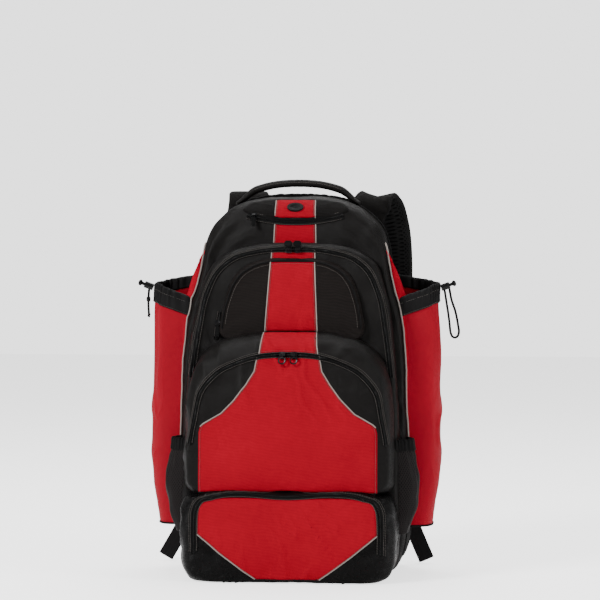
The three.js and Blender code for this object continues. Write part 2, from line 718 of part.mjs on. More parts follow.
// Red centre strip, one piece for each layer that it crosses
const topPocketTop = TOP_POCKET_BASE + TOP_POCKET_HEIGHT;
const topStripRing = stripRing(TOP_POCKET_BASE + STRIP_MARGIN, topPocketTop - STRIP_MARGIN);
const topStrip = laidOn(topForm, topStripRing).subtract(pouch(mainForm, GAP));
const upperStrip = laidOn(mainForm, stripRing(SECOND_HEIGHT - STRIP_TUCK, topZipBase - GAP))
  .subtract(pouch(secondForm, GAP));
const faceTop = (form) => form.bottom + form.rows.at(-1).faceUp * form.height;
const secondStrip = laidOn(secondForm, stripRing(ORGANIZER_TOP - STRIP_OVERLAP, faceTop(secondForm)))
  .subtract(pouch(organizerForm, GAP))
  .subtract(bandOf(secondForm, GAP));
const organizerStrip = laidOn(organizerForm, stripRing(LEDGE + 4 * GAP, ORGANIZER_TOP - STRIP_OVERLAP));
const ledgeStrip = laidOn(frontForm, stripRing(LEDGE - LEDGE_STRIP_DEPTH, LEDGE - 5 * GAP))
  .subtract(bandOf(frontForm, GAP))
  .subtract(pouch(secondForm, GAP))
  .subtract(pouch(organizerForm, GAP));
piece('top_strip', topStrip, fabricRed);
piece('upper_strip', upperStrip, fabricRed);
piece('second_strip', secondStrip, fabricRed);
piece('organizer_strip', organizerStrip, fabricRed);
piece('ledge_strip', ledgeStrip, fabricRed);

function facePanel(form, rows) {
  const half = rows.map(({ side, up }) => [side * form.halfWidth, form.bottom + up * form.height]);
  return laidOn(form, mirrored(half)).subtract(bandOf(form, GAP));
}
piece('front_panel', facePanel(frontForm, FRONT_PANEL_OUTLINE), fabricRed);
piece('bottom_panel', facePanel(bottomForm, BOTTOM_PANEL_OUTLINE), fabricRed);

// Sleeves and bottle pockets: open-topped cloth walls sewn to the side of the body
const SIDE_STEPS = 13;

function sideSection(form, sign, share, mouth, grow) {
  const bulge = bulgeAt(form.bulge, share);
  const reach = (form.out - form.inner) * bulge;
  const deep = (form.backY - form.frontY) / 2;
  const middle = (form.backY + form.frontY) / 2;
  return Array.from({ length: SIDE_STEPS }, (_, i) => {
    const turn = lerp(-Math.PI / 2, Math.PI / 2, i / (SIDE_STEPS - 1));
    const across = Math.max(0, Math.cos(turn)) ** form.squareness;
    const along = Math.sign(Math.sin(turn)) * Math.abs(Math.sin(turn)) ** form.squareness;
    const wave = form.foldDepth * Math.cos(form.folds * turn) * form.foldFade(share) * across;
    const x = form.inner + (reach + wave + grow) * across;
    const y = middle + (deep + grow) * along;
    const rim = form.rim(across, (along + 1) / 2);
    const z = mouth === undefined ? lerp(form.bottom, rim, share) : rim + mouth;
    return [sign * x, y, z];
  });
}

function bulgeAt(rows, share) {
  const next = Math.max(1, rows.findIndex((row) => row.up >= share));
  const [low, high] = [rows[next - 1], rows[next]];
  return lerp(low.out, high.out, (share - low.up) / (high.up - low.up));
}

function sideBody(form, sign, grow = 0, above = 0) {
  const rings = form.bulge.map(({ up }) => sideSection(form, sign, up, undefined, grow));
  rings[0] = rings[0].map(([x, y, z]) => [x, y, z - grow]);
  if (above > 0) {
    rings.push(sideSection(form, sign, 1, above, grow));
  }
  return loft(rings, middleOf(rings[0]), middleOf(rings.at(-1)));
}

function belowMouth(form, sign, depth) {
  const wide = form.out - form.inner;
  const rings = [
    sideSection(form, sign, 1, -form.rim(0, 0), wide).map(([x, y]) => [x, y, form.bottom - wide]),
    sideSection(form, sign, 1, -depth, wide),
  ];
  return loft(rings, middleOf(rings[0]), middleOf(rings[1]));
}

const besideBody = (solid, forms) => forms.reduce(
  (rest, form) => rest.subtract(pouch(form, GAP + PANEL_THICKNESS + GAP)),
  solid,
);

const sleeveForm = {
  bulge: SLEEVE_BULGE,
  inner: BODY_HALF_WIDTH * SIDE_TUCK,
  out: SLEEVE_OUT,
  bottom: SLEEVE_BOTTOM,
  backY: MAIN_BACK - SLEEVE_SETBACK,
  frontY: MAIN_BACK - SLEEVE_SETBACK - SLEEVE_DEPTH,
  squareness: 0.5,
  folds: 7,
  foldDepth: 2.2,
  foldFade: (share) => 0.35 + 0.65 * smooth(share, 0.2, 0.9),
  rim: (out, rear) => {
    const rise = out * (1 - rear) + SLEEVE_REAR_RISE * rear * (1 - out) + SLEEVE_CORNER_RISE * out * rear;
    return SLEEVE_BOTTOM + SLEEVE_HEIGHT + HEM_DEPTH * rise;
  },
};
const meshForm = {
  bulge: MESH_BULGE,
  inner: BODY_HALF_WIDTH * SIDE_TUCK,
  out: MESH_OUT,
  bottom: MESH_BOTTOM,
  backY: sleeveForm.frontY - MESH_SETBACK,
  frontY: sleeveForm.frontY - MESH_SETBACK - MESH_DEPTH,
  squareness: 0.62,
  folds: 11,
  foldDepth: 1.6,
  foldFade: (share) => smooth(share, 0.45, 1),
  rim: () => MESH_BOTTOM + MESH_HEIGHT,
};

function sidePocket(form, sign) {
  const wall = sideBody(form, sign).subtract(sideBody(form, sign, -CLOTH_WALL, CUT_PAST));
  return besideBody(wall, carriers);
}

function mouthBand(form, sign, depth) {
  const skin = sideBody(form, sign, GAP + TAPE_THICKNESS).subtract(sideBody(form, sign, GAP, CUT_PAST));
  return besideBody(skin.subtract(belowMouth(form, sign, depth)), carriers);
}

const carriers = [mainForm, secondForm];
for (const { name, sign } of sides) {
  piece(`sleeve_${name}`, sidePocket(sleeveForm, sign), fabricRed);
  piece(`sleeve_hem_${name}`, mouthBand(sleeveForm, sign, HEM_DEPTH), webbingBlack);
  piece(`mesh_pocket_${name}`, sidePocket(meshForm, sign), fabricBlack);
  piece(`elastic_band_${name}`, mouthBand(meshForm, sign, ELASTIC_DEPTH), webbingBlack);
}

// A band or tube swept through stations of { x, y, z, width, thickness }, its width kept near X
const SECTION_CORNERS = [
  [-0.5, -0.25], [-0.4, -0.5], [0.4, -0.5], [0.5, -0.25],
  [0.5, 0.25], [0.4, 0.5], [-0.4, 0.5], [-0.5, 0.25],
];

function swept(stations, widthAxis) {
  const points = stations.map(({ x, y, z }) => new THREE.Vector3(x, y, z));
  const rings = points.map((point, i) => {
    const ahead = points[Math.min(i + 1, points.length - 1)];
    const behind = points[Math.max(i - 1, 0)];
    const along = ahead.clone().sub(behind).normalize();
    const across = widthAxis.clone().addScaledVector(along, -widthAxis.dot(along)).normalize();
    const normal = along.clone().cross(across);
    const { width, thickness } = stations[i];
    return SECTION_CORNERS.map(([u, v]) => point.clone()
      .addScaledVector(across, u * width)
      .addScaledVector(normal, v * thickness)
      .toArray());
  });
  return loft(rings, points[0].toArray(), points.at(-1).toArray());
}

function handle() {
  const turn = (i) => Math.sin((i / HANDLE_STEPS - 0.5) * Math.PI);
  const turns = Array.from({ length: HANDLE_STEPS + 1 }, (_, i) => turn(i));
  const crest = BODY_HEIGHT + HANDLE_RISE;
  const surface = (x) => {
    const base = outlineOf(mainForm, 'side', 'up').filter(([px, pz]) => px >= 0 && pz > BODY_HEIGHT / 2);
    const next = base.findIndex(([px]) => px <= Math.abs(x));
    const [a, b] = [base[next - 1], base[next]];
    return lerp(a[1], b[1], (Math.abs(x) - a[0]) / (b[0] - a[0]));
  };
  const stations = turns.map((share) => {
    const x = share * HANDLE_SPAN;
    const foot = smooth(Math.abs(share), 0.55, 0.95);
    const arch = crest - (crest - surface(HANDLE_SPAN) - HANDLE_THICKNESS) * Math.abs(share) ** 2.4;
    const thickness = lerp(HANDLE_THICKNESS, HANDLE_THICKNESS * 0.45, foot);
    return {
      x,
      y: MAIN_BACK - HANDLE_SETBACK,
      z: lerp(arch, surface(x) + thickness / 2 + 4 * GAP, foot),
      width: lerp(HANDLE_THICKNESS * 1.3, HANDLE_THICKNESS * 2.2, foot),
      thickness,
    };
  });
  return swept(stations, new THREE.Vector3(0, 1, 0)).subtract(pouch(mainForm, GAP));
}
piece('haul_handle', handle(), webbingBlack);

// Shoulder straps: stations as shares. "out" is across the half width, "behind" in strap
// thicknesses behind the back plane, "up" a share of the body height.
const STRAP_RIGHT = [
  { out: 0.6, behind: 1.1, up: 0.945, wide: 0.9 },
  { out: 0.64, behind: 1.3, up: 0.975, wide: 0.95 },
  { out: 0.7, behind: 2.1, up: 0.992, wide: 1 },
  { out: 0.745, behind: 3.1, up: 0.975, wide: 1 },
  { out: 0.8, behind: 3.6, up: 0.92, wide: 1 },
  { out: 0.83, behind: 3.5, up: 0.83, wide: 1 },
  { out: 0.82, behind: 3.1, up: 0.72, wide: 1 },
  { out: 0.78, behind: 2.6, up: 0.6, wide: 0.9 },
  { out: 0.75, behind: 2.3, up: 0.5, wide: 0.72 },
  { out: 0.76, behind: 2.1, up: 0.4, wide: 0.55 },
  { out: 0.78, behind: 2, up: 0.34, wide: 0.5 },
];
const STRAP_LEFT = [
  { out: 0.49, behind: 1.1, up: 0.955, wide: 0.9 },
  { out: 0.485, behind: 1.3, up: 0.988, wide: 0.95 },
  { out: 0.48, behind: 2.1, up: 1.006, wide: 1 },
  { out: 0.49, behind: 3.1, up: 0.985, wide: 1 },
  { out: 0.53, behind: 3.6, up: 0.92, wide: 1 },
  { out: 0.6, behind: 3.5, up: 0.83, wide: 1 },
  { out: 0.66, behind: 3.1, up: 0.72, wide: 1 },
  { out: 0.7, behind: 2.6, up: 0.6, wide: 0.9 },
  { out: 0.73, behind: 2.3, up: 0.5, wide: 0.72 },
  { out: 0.76, behind: 2.1, up: 0.4, wide: 0.55 },
  { out: 0.78, behind: 2, up: 0.34, wide: 0.5 },
];
const across = new THREE.Vector3(1, 0, 0);

function strapStations(rows, sign) {
  return rows.map(({ out, behind, up, wide }) => ({
    x: sign * out * BODY_HALF_WIDTH,
    y: BACK_PLANE + behind * STRAP_THICKNESS,
    z: up * BODY_HEIGHT,
    width: wide * STRAP_WIDTH,
    thickness: STRAP_THICKNESS,
  }));
}

// The adjuster: a flat frame with two slots, which the webbing passes
function ladderLock(centre) {
  const wide = WEBBING_WIDTH + 2 * (FRAME_WALL + 2 * GAP);
  const slotWide = WEBBING_WIDTH + 2 * (GAP + FRAME_ROOM);
  let frame = block(wide, FRAME_DEPTH, FRAME_HEIGHT, ...centre);
  const slot = FRAME_HEIGHT / 2 - 1.5 * FRAME_WALL;
  for (const end of [-1, 1]) {
    const z = centre[2] + end * (slot / 2 + FRAME_WALL / 2);
    frame = frame.subtract(block(slotWide, FRAME_DEPTH * 2, slot, centre[0], centre[1], z));
  }
  return frame;
}

for (const { name, sign } of sides) {
  const rows = sign > 0 ? STRAP_RIGHT : STRAP_LEFT;
  const stations = strapStations(rows, sign);
  const end = stations.at(-1);
  const lockTop = end.z + STRAP_THICKNESS / 2;
  const beyond = block(WIDE, WIDE, WIDE, 0, 0, lockTop + GAP - WIDE / 2);
  piece(`shoulder_strap_${name}`, swept(stations, across).subtract(beyond), fabricBlack);
  const lock = [end.x, end.y, lockTop - FRAME_HEIGHT / 2];
  piece(`ladder_lock_${name}`, ladderLock(lock), hardBlack);
  // The webbing rises from the lower seam behind the adjuster, turns over its bar and hangs free
  const seamX = sign * BODY_HALF_WIDTH * 0.86;
  const thin = { width: WEBBING_WIDTH, thickness: WEBBING_THICKNESS };
  const barY = lock[1];
  const slotZ = FRAME_HEIGHT / 2 - 1.5 * FRAME_WALL;
  const lowSlot = lock[2] - slotZ / 2 - FRAME_WALL / 2;
  const highSlot = lock[2] + slotZ / 2 + FRAME_WALL / 2;
  const clear = FRAME_DEPTH / 2 + GAP + WEBBING_THICKNESS;
  const turnIn = FRAME_WALL / 6;
  const turnDrop = FRAME_WALL * 0.63;
  const seamY = BACK_PLANE + GAP + WEBBING_THICKNESS;
  const risingY = BACK_PLANE + 5 * WEBBING_THICKNESS;
  const innerY = barY - clear;
  const outerY = barY + clear;
  const hanging = (out, back, up) => ({
    x: sign * BODY_HALF_WIDTH * out, y: outerY + back * WEBBING_THICKNESS, z: lock[2] * up, ...thin,
  });
  const webbing = [
    { x: seamX, y: seamY, z: BODY_HEIGHT * 0.057, ...thin },
    { x: sign * BODY_HALF_WIDTH * 0.84, y: risingY, z: BODY_HEIGHT * 0.118, ...thin },
    { x: lerp(seamX, lock[0], 0.8), y: innerY - 2 * WEBBING_THICKNESS, z: lock[2] - FRAME_HEIGHT, ...thin },
    { x: lock[0], y: innerY, z: lowSlot, ...thin },
    { x: lock[0], y: innerY + turnIn, z: highSlot - turnDrop, ...thin },
    { x: lock[0], y: barY, z: highSlot + turnIn, ...thin },
    { x: lock[0], y: outerY - turnIn, z: highSlot - turnDrop, ...thin },
    { x: lock[0], y: outerY, z: lowSlot, ...thin },
    hanging(0.92, 1, 0.57),
    hanging(1.03, -1, 0.285),
    hanging(1.11, -4, 0.073),
  ];
  piece(`webbing_${name}`, swept(webbing, across), webbingBlack);
}

// Zip sliders with a cross bar, and pulls that hang on it.
// Local frame: the bar lies along X at the origin, -Y points away from the bag.
const BAR_HEIGHT = SLIDER_THICKNESS + EYE_RADIUS + 2 * GAP;

function rod(radius, length, sidesCount = 8) {
  return new THREE.CylinderGeometry(radius, radius, length, sidesCount);
}

function sliderBody() {
  const plate = block(SLIDER_WIDTH, SLIDER_THICKNESS + CUT_PAST, SLIDER_LENGTH,
    0, BAR_HEIGHT - SLIDER_THICKNESS / 2 + CUT_PAST / 2, 0);
  let body = plate.add(solidOf(rod(BAR_RADIUS, 2 * POST_SPACING).rotateZ(Math.PI / 2)));
  const postDepth = BAR_HEIGHT - SLIDER_THICKNESS / 2 + BAR_RADIUS;
  for (const sign of [-1, 1]) {
    const middle = postDepth / 2 - BAR_RADIUS;
    body = body.add(block(POST_WIDTH, postDepth, POST_LENGTH, sign * POST_SPACING, middle, 0));
  }
  return body;
}

function eyeWith(tab) {
  const width = 2 * POST_SPACING - POST_WIDTH - 4 * GAP;
  const eye = solidOf(rod(EYE_RADIUS, width, 8).rotateZ(Math.PI / 2));
  const bore = solidOf(rod(EYE_BORE, width * 2, 8).rotateZ(Math.PI / 2));
  return eye.add(tab).subtract(bore);
}

function ringPull() {
  const neck = block(EYE_RADIUS, NECK_THICKNESS, 2.5 * RING_WIRE, 0, 0, -EYE_RADIUS - RING_WIRE / 2);
  const loop = new THREE.TorusGeometry(RING_RADIUS, RING_WIRE, 5, 12).rotateX(Math.PI / 2);
  loop.translate(0, 0, -EYE_RADIUS - RING_RADIUS - RING_WIRE);
  return eyeWith(neck.add(solidOf(loop)));
}

function tabPull({ width, length, thickness }) {
  const neck = block(width * 0.45, NECK_THICKNESS, EYE_RADIUS * 1.6, 0, 0, -EYE_RADIUS - 1);
  const shape = new THREE.Shape();
  const [w, h] = [width / 2, length / 2];
  const corner = Math.min(w, h) * 0.55;
  shape.moveTo(-w + corner, -h);
  shape.lineTo(w - corner, -h);
  shape.quadraticCurveTo(w, -h, w, -h + corner);
  shape.lineTo(w, h - corner);
  shape.quadraticCurveTo(w, h, w - corner, h);
  shape.lineTo(-w + corner, h);
  shape.quadraticCurveTo(-w, h, -w, h - corner);
  shape.lineTo(-w, -h + corner);
  shape.quadraticCurveTo(-w, -h, -w + corner, -h);
  const tab = new THREE.ExtrudeGeometry(shape, { depth: thickness, bevelEnabled: false, curveSegments: 1 });
  tab.rotateX(Math.PI / 2).translate(0, thickness / 2, -EYE_RADIUS - 1 - h);
  return eyeWith(neck.add(solidOf(tab)));
}

// Seats a slider and its pull on the tape of a zip. "turn" swings the pull up from hanging.
function hang(slider, pull, pullSolid, tape, under, x, z, turn = 0) {
  const seat = seatOn(tape, x, z);
  const tilt = -THREE.MathUtils.radToDeg(seat.tilt);
  const lift = new THREE.Vector3(0, -Math.cos(seat.tilt), Math.sin(seat.tilt));
  const bar = seat.point.clone().addScaledVector(lift, BAR_HEIGHT + GAP);
  const place = (solid) => solid.rotate([tilt, 0, 0]).translate(bar.toArray());
  const body = under.reduce((rest, solid) => rest.subtract(solid), place(sliderBody()));
  piece(slider, body, metalDark);
  piece(pull, place(pullSolid.rotate([-turn, 0, 0])), slider.startsWith('front') ? metalDark : hardBlack);
}

const clearOf = (form) => pouch(form, GAP + TAPE_THICKNESS + GAP);
const bulkyPull = tabPull(BULKY_PULL);
for (const { name, sign } of sides) {
  hang(`main_zip_slider_${name}`, `main_zip_pull_${name}`, bulkyPull, mainZip,
    [clearOf(secondForm), pouch(mainForm, GAP + PANEL_THICKNESS + GAP)],
    sign * SLIDER_WIDTH * 0.8, faceTop(secondForm), PULL_FLOP);
  hang(`front_zip_slider_${name}`, `front_ring_${name}`, ringPull(), frontZip,
    [clearOf(frontForm)], sign * SLIDER_WIDTH, faceTop(frontForm) - 1);
}
const slimPull = tabPull(SLIM_PULL);
const topSliderX = -TOP_ZIP_HALF * 0.86;
hang('top_zip_slider', 'top_zip_pull', slimPull, topZip,
  [pouch(topForm, GAP), clearOf(mainForm)],
  topSliderX, topZipBase + ZIP_WIDTH / 2 + zipSag(topSliderX));
hang('side_zip_slider', 'side_zip_pull', slimPull, sideZip,
  [clearOf(secondForm), pouch(organizerForm, GAP), pouch(frontForm, GAP)],
  lerp(sideZipTop[0], sideZipFoot[0], 0.45), lerp(sideZipTop[1], sideZipFoot[1], 0.45));

// Oval rubber port with a cable bore, on the top strip
function port() {
  const centreZ = TOP_POCKET_BASE + TOP_POCKET_HEIGHT * 0.52;
  const seat = seatOn(topStrip, 0, centreZ);
  const oval = rod(1, PORT_THICKNESS + CUT_PAST, 16).scale(PORT_WIDTH / 2, 1, PORT_HEIGHT / 2);
  const rim = solidOf(oval.translate(0, CUT_PAST / 2, 0));
  const dish = new THREE.SphereGeometry(1, 10, 5).scale(PORT_WIDTH * 0.36, PORT_DISH, PORT_HEIGHT * 0.34);
  const bore = rod(PORT_BORE, WIDE, 10);
  const solid = rim
    .subtract(solidOf(dish.translate(0, -PORT_THICKNESS / 2, 0)))
    .subtract(solidOf(bore));
  const lift = new THREE.Vector3(0, -Math.cos(seat.tilt), Math.sin(seat.tilt));
  const centre = seat.point.clone().addScaledVector(lift, PORT_THICKNESS / 2 + GAP);
  return solid
    .rotate([-THREE.MathUtils.radToDeg(seat.tilt), 0, 0])
    .translate(centre.toArray())
    .subtract(pouch(topForm, GAP + PANEL_THICKNESS + GAP));
}
piece('audio_port', port(), hardBlack);

// Spring cord locks on the outer side of the hems, their buttons and the free cord ends
function lockParts(sign) {
  const barrel = solidOf(rod(LOCK_RADIUS, LOCK_LENGTH, 14))
    .subtract(solidOf(rod(STEM_RADIUS + 2 * GAP, LOCK_LENGTH, 12).translate(0, LOCK_LENGTH * 0.3, 0)));
  const stem = solidOf(rod(STEM_RADIUS, LOCK_TRAVEL * 2 + 2, 12).translate(0, -1, 0));
  const head = solidOf(new THREE.SphereGeometry(LOCK_RADIUS * 0.92, 10, 5).scale(1, 0.7, 1))
    .translate([0, LOCK_TRAVEL + 2, 0]);
  const button = stem.add(head).translate([0, LOCK_LENGTH / 2 + 1.5, 0]);
  const place = (solid) => solid
    .rotate([0, 0, -sign * (90 - LOCK_TILT)])
    .rotate([90, 0, 0]);
  return { barrel: place(barrel), button: place(button) };
}

const lockAt = (sign) => [
  sign * (SLEEVE_OUT + LOCK_LENGTH / 2 + 1),
  (sleeveForm.frontY + sleeveForm.backY) / 2,
  sleeveForm.rim(1, 0.5) - LOCK_DROP,
];

for (const { name, sign } of sides) {
  const { barrel, button } = lockParts(sign);
  const at = lockAt(sign);
  const hem = sideBody(sleeveForm, sign, GAP + TAPE_THICKNESS + GAP, CUT_PAST);
  piece(`cord_lock_${name}`, barrel.translate(at).subtract(hem), hardBlack);
  piece(`cord_lock_button_${name}`, button.translate(at), hardBlack);
}

function cord(points) {
  const curve = new THREE.CatmullRomCurve3(points.map((point) => new THREE.Vector3(...point)));
  const steps = Math.ceil(curve.getLength() / (CORD_RADIUS * 6));
  const section = new THREE.Shape();
  section.absarc(0, 0, CORD_RADIUS, 0, Math.PI * 2);
  return solidOf(new THREE.ExtrudeGeometry(section, { steps, curveSegments: 4, extrudePath: curve }));
}
const loopPoints = LOOP_ROUTE.map(({ out, up }) => {
  const [x, y, z] = lockAt(1);
  return [x + out, y, z + up];
});
const tailPoint = (share) => {
  const [x, y, z] = lockAt(-1);
  return [x - TAIL_SWAY * Math.sin(share * Math.PI), y, z - LOCK_RADIUS - 4 * GAP - share * TAIL_LENGTH];
};
const tailPoints = Array.from({ length: TAIL_STEPS }, (_, i) => tailPoint(i / (TAIL_STEPS - 1)));
piece('drawcord_right', cord(loopPoints), webbingBlack);
piece('drawcord_left', cord(tailPoints), webbingBlack);

const bead = solidOf(new THREE.SphereGeometry(BEAD_RADIUS, 8, 6))
  .subtract(solidOf(rod(CORD_RADIUS + 2 * GAP, 4 * BEAD_RADIUS, 8).rotateX(Math.PI / 2)));
piece('cord_bead_left', bead.translate(tailPoint(BEAD_SHARE)), hardBlack);

const group = new THREE.Group();
group.add(...meshes);
export default group;
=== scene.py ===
"""Looks of a tall sports backpack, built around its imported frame.

Metres, +Z up, the front faces -Y, and the origin is at the middle of the base.
"""

import logging
import math
from dataclasses import dataclass, field
from enum import Enum
from typing import Callable, Iterable, Sequence

import bmesh
import bpy
import numpy as np
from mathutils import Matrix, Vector, noise
from mathutils.bvhtree import BVHTree


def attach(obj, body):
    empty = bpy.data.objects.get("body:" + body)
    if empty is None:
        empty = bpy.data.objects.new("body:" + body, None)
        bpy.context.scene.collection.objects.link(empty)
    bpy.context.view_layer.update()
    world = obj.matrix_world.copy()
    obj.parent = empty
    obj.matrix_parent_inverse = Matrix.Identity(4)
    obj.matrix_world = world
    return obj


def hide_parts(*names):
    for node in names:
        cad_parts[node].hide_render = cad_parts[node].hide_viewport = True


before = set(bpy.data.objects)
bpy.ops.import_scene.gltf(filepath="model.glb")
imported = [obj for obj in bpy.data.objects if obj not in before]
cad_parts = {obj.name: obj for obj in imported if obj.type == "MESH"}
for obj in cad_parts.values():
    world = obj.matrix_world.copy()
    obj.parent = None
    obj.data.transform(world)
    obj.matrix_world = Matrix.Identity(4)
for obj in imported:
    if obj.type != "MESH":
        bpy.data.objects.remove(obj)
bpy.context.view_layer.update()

MM = 0.001
BODY = "bag"
BMesh = bmesh.types.BMesh
Material = bpy.types.Material
Object = bpy.types.Object
Socket = bpy.types.NodeSocket
Triple = tuple[float, float, float]
PairAt = Callable[[float], tuple[float, float]]

SIDES = {"left": -1, "right": 1}
FAR = 2.0
NUDGES = (0.00002, 0.0003, -0.0003)

# Heights, widths and depths that the pieces share
BODY_HEIGHT = 0.595
BODY_HALF = 0.178
BACK_PLANE = 0.118
MAIN_BACK = 0.1037
MAIN_FRONT = -0.0123
MAIN_LEAN = 0.05
LEAN_START = 0.12
LEAN_POWER = 1.4
SECOND_HEIGHT = 0.521
SECOND_HALF = 0.168
SECOND_FRONT = -0.0543
SECOND_LEAN = 0.07
BOTTOM_HEIGHT = 0.138
BOTTOM_HALF = 0.166
BOTTOM_FRONT = -0.1103
FRONT_BOTTOM = 0.1383
FRONT_HEIGHT = 0.245
FRONT_HALF = 0.162
FRONT_FACE = -0.1003
FRONT_LEAN = 0.04
LEDGE = 0.3833
ORGANIZER_BOTTOM = 0.3836
ORGANIZER_HEIGHT = 0.114
ORGANIZER_HALF = 0.113
ORGANIZER_FACE = -0.0843
ORGANIZER_LEAN = 0.1
TOP_BASE = 0.56
TOP_HEIGHT = 0.031
TOP_HALF = 0.084
TOP_FACE = 0.0279
TOP_SLOPE = 0.62

ZIP_WIDTH = 0.009
TOP_ZIP_BASE = 0.5504
TOP_ZIP_HALF = 0.076
ZIP_SAG = 0.01

SLEEVE_OUT = 0.229
SLEEVE_BOTTOM = 0.076
SLEEVE_MOUTH = 0.425
SLEEVE_DEPTH = 0.09
HEM_DEPTH = 0.029
SIDE_INNER = 0.1424
MESH_OUT = 0.201
MESH_BOTTOM = 0.07
MESH_HEIGHT = 0.146
MESH_DEPTH = 0.052
ELASTIC_DEPTH = 0.017

SHELL_WALL = 0.0015
PATCH_WALL = 0.0007
SIDE_WALL = 0.0014
HEM_WALL = 0.0008
SEAT_GAP = 0.0003
FLOOR_GAP = 0.0003
PAD_HALF_WIDTH = 0.044
PAD_HALF_HEIGHT = 0.2
PAD_RISE = 0.009
WEBBING_WIDTH = 0.025
WEBBING_THICKNESS = 0.0016
STRAP_WIDTH = 0.062
STRAP_THICKNESS = 0.011
HANDLE_SPAN = 0.097
HANDLE_Y = 0.0877
HANDLE_THICKNESS = 0.012
HANDLE_RISE = 0.021
CORD_RADIUS = 0.0019
STITCH_LENGTH = 0.0026
STITCH_PITCH = STITCH_LENGTH * 1.45
THREAD_RADIUS = 0.00032
LOCK_CENTRE = Vector((0.237, 0.0537, 0.452175))


@dataclass(frozen=True)
class Row:
    """One point of half an outline, as shares of a form's half width and height."""

    side: float
    up: float
    face_side: float
    face_up: float


MAIN_OUTLINE = [
    Row(0, 0, 0, 0.012),
    Row(0.77, 0, 0.72, 0.014),
    Row(0.89, 0.014, 0.83, 0.026),
    Row(0.96, 0.045, 0.895, 0.055),
    Row(1, 0.2, 0.95, 0.2),
    Row(0.995, 0.48, 0.955, 0.48),
    Row(0.975, 0.61, 0.935, 0.608),
    Row(0.94, 0.69, 0.89, 0.685),
    Row(0.89, 0.75, 0.83, 0.745),
    Row(0.84, 0.815, 0.79, 0.8),
    Row(0.81, 0.872, 0.74, 0.852),
    Row(0.765, 0.914, 0.655, 0.888),
    Row(0.65, 0.952, 0.52, 0.916),
    Row(0.52, 0.977, 0.38, 0.931),
    Row(0.28, 0.996, 0.19, 0.937),
    Row(0, 1, 0, 0.938),
]
SECOND_OUTLINE = [
    Row(0, 0, 0, 0.018),
    Row(0.78, 0, 0.73, 0.02),
    Row(0.93, 0.022, 0.87, 0.038),
    Row(0.985, 0.08, 0.94, 0.09),
    Row(1, 0.2, 0.955, 0.2),
    Row(1, 0.44, 0.955, 0.44),
    Row(0.97, 0.625, 0.915, 0.625),
    Row(0.925, 0.75, 0.865, 0.745),
    Row(0.86, 0.865, 0.8, 0.85),
    Row(0.76, 0.94, 0.69, 0.92),
    Row(0.64, 0.97, 0.57, 0.952),
    Row(0.4, 0.994, 0.33, 0.975),
    Row(0, 1, 0, 0.981),
]
ORGANIZER_OUTLINE = [
    Row(0, 0, 0, 0),
    Row(1, 0, 0.94, 0),
    Row(0.975, 0.25, 0.92, 0.25),
    Row(0.93, 0.46, 0.87, 0.45),
    Row(0.86, 0.66, 0.8, 0.63),
    Row(0.76, 0.82, 0.69, 0.78),
    Row(0.6, 0.93, 0.53, 0.88),
    Row(0.36, 0.99, 0.31, 0.94),
    Row(0, 1, 0, 0.955),
]
FRONT_OUTLINE = [
    Row(0, 0, 0, 0.015),
    Row(0.92, 0, 0.87, 0.02),
    Row(0.985, 0.03, 0.92, 0.06),
    Row(1, 0.12, 0.94, 0.15),
    Row(1, 0.38, 0.93, 0.33),
    Row(0.985, 0.55, 0.89, 0.47),
    Row(0.96, 0.68, 0.84, 0.62),
    Row(0.91, 0.79, 0.755, 0.7),
    Row(0.83, 0.87, 0.655, 0.76),
    Row(0.68, 0.94, 0.465, 0.82),
    Row(0.45, 0.985, 0.31, 0.85),
    Row(0, 1, 0, 0.865),
]
BOTTOM_OUTLINE = [
    Row(0, 0, 0, 0.05),
    Row(0.83, 0, 0.76, 0.06),
    Row(0.93, 0.06, 0.83, 0.13),
    Row(0.985, 0.19, 0.86, 0.26),
    Row(1, 0.4, 0.865, 0.45),
    Row(1, 0.7, 0.865, 0.7),
    Row(0.985, 0.86, 0.85, 0.83),
    Row(0.94, 0.955, 0.805, 0.92),
    Row(0.84, 0.995, 0.71, 0.962),
    Row(0, 1, 0, 0.975),
]
TOP_OUTLINE = [
    Row(0, 0, 0, 0.12),
    Row(0.5, 0.06, 0.44, 0.17),
    Row(0.88, 0.2, 0.8, 0.3),
    Row(1, 0.42, 0.9, 0.47),
    Row(0.93, 0.68, 0.84, 0.68),
    Row(0.66, 0.9, 0.6, 0.84),
    Row(0.32, 0.99, 0.3, 0.9),
    Row(0, 1, 0, 0.92),
]


@dataclass(frozen=True)
class Fold:
    """A long soft fold or a dent on the front of a form, seen from the front.

    Args:
        start: One end as (x, z) in metres.
        end: The other end as (x, z).
        width: Half the width of the fold.
        rise: How far the cloth stands out, below zero for a dent.
    """

    start: tuple[float, float]
    end: tuple[float, float]
    width: float
    rise: float

    def height(self, x: float, z: float) -> float:
        """Gives the rise of the fold at a point of the front view."""
        (ax, az), (bx, bz) = self.start, self.end
        dx, dz = bx - ax, bz - az
        along = ((x - ax) * dx + (z - az) * dz) / (dx * dx + dz * dz)
        near = min(1.0, max(0.0, along))
        distance = math.hypot(x - ax - near * dx, z - az - near * dz)
        taper = math.sin(math.pi * min(1.0, max(0.0, 0.1 + 0.8 * near)))
        return self.rise * math.exp(-((distance / self.width) ** 2)) * taper


def both_sides(folds: Sequence[Fold]) -> list[Fold]:
    """Repeats folds on the other side of the bag.

    Args:
        folds: Folds on the right-hand side.

    Returns:
        The folds and their mirror images.
    """
    mirrored = [
        Fold((-f.start[0], f.start[1]), (-f.end[0], f.end[1]), f.width, f.rise) for f in folds
    ]
    return [*folds, *mirrored]


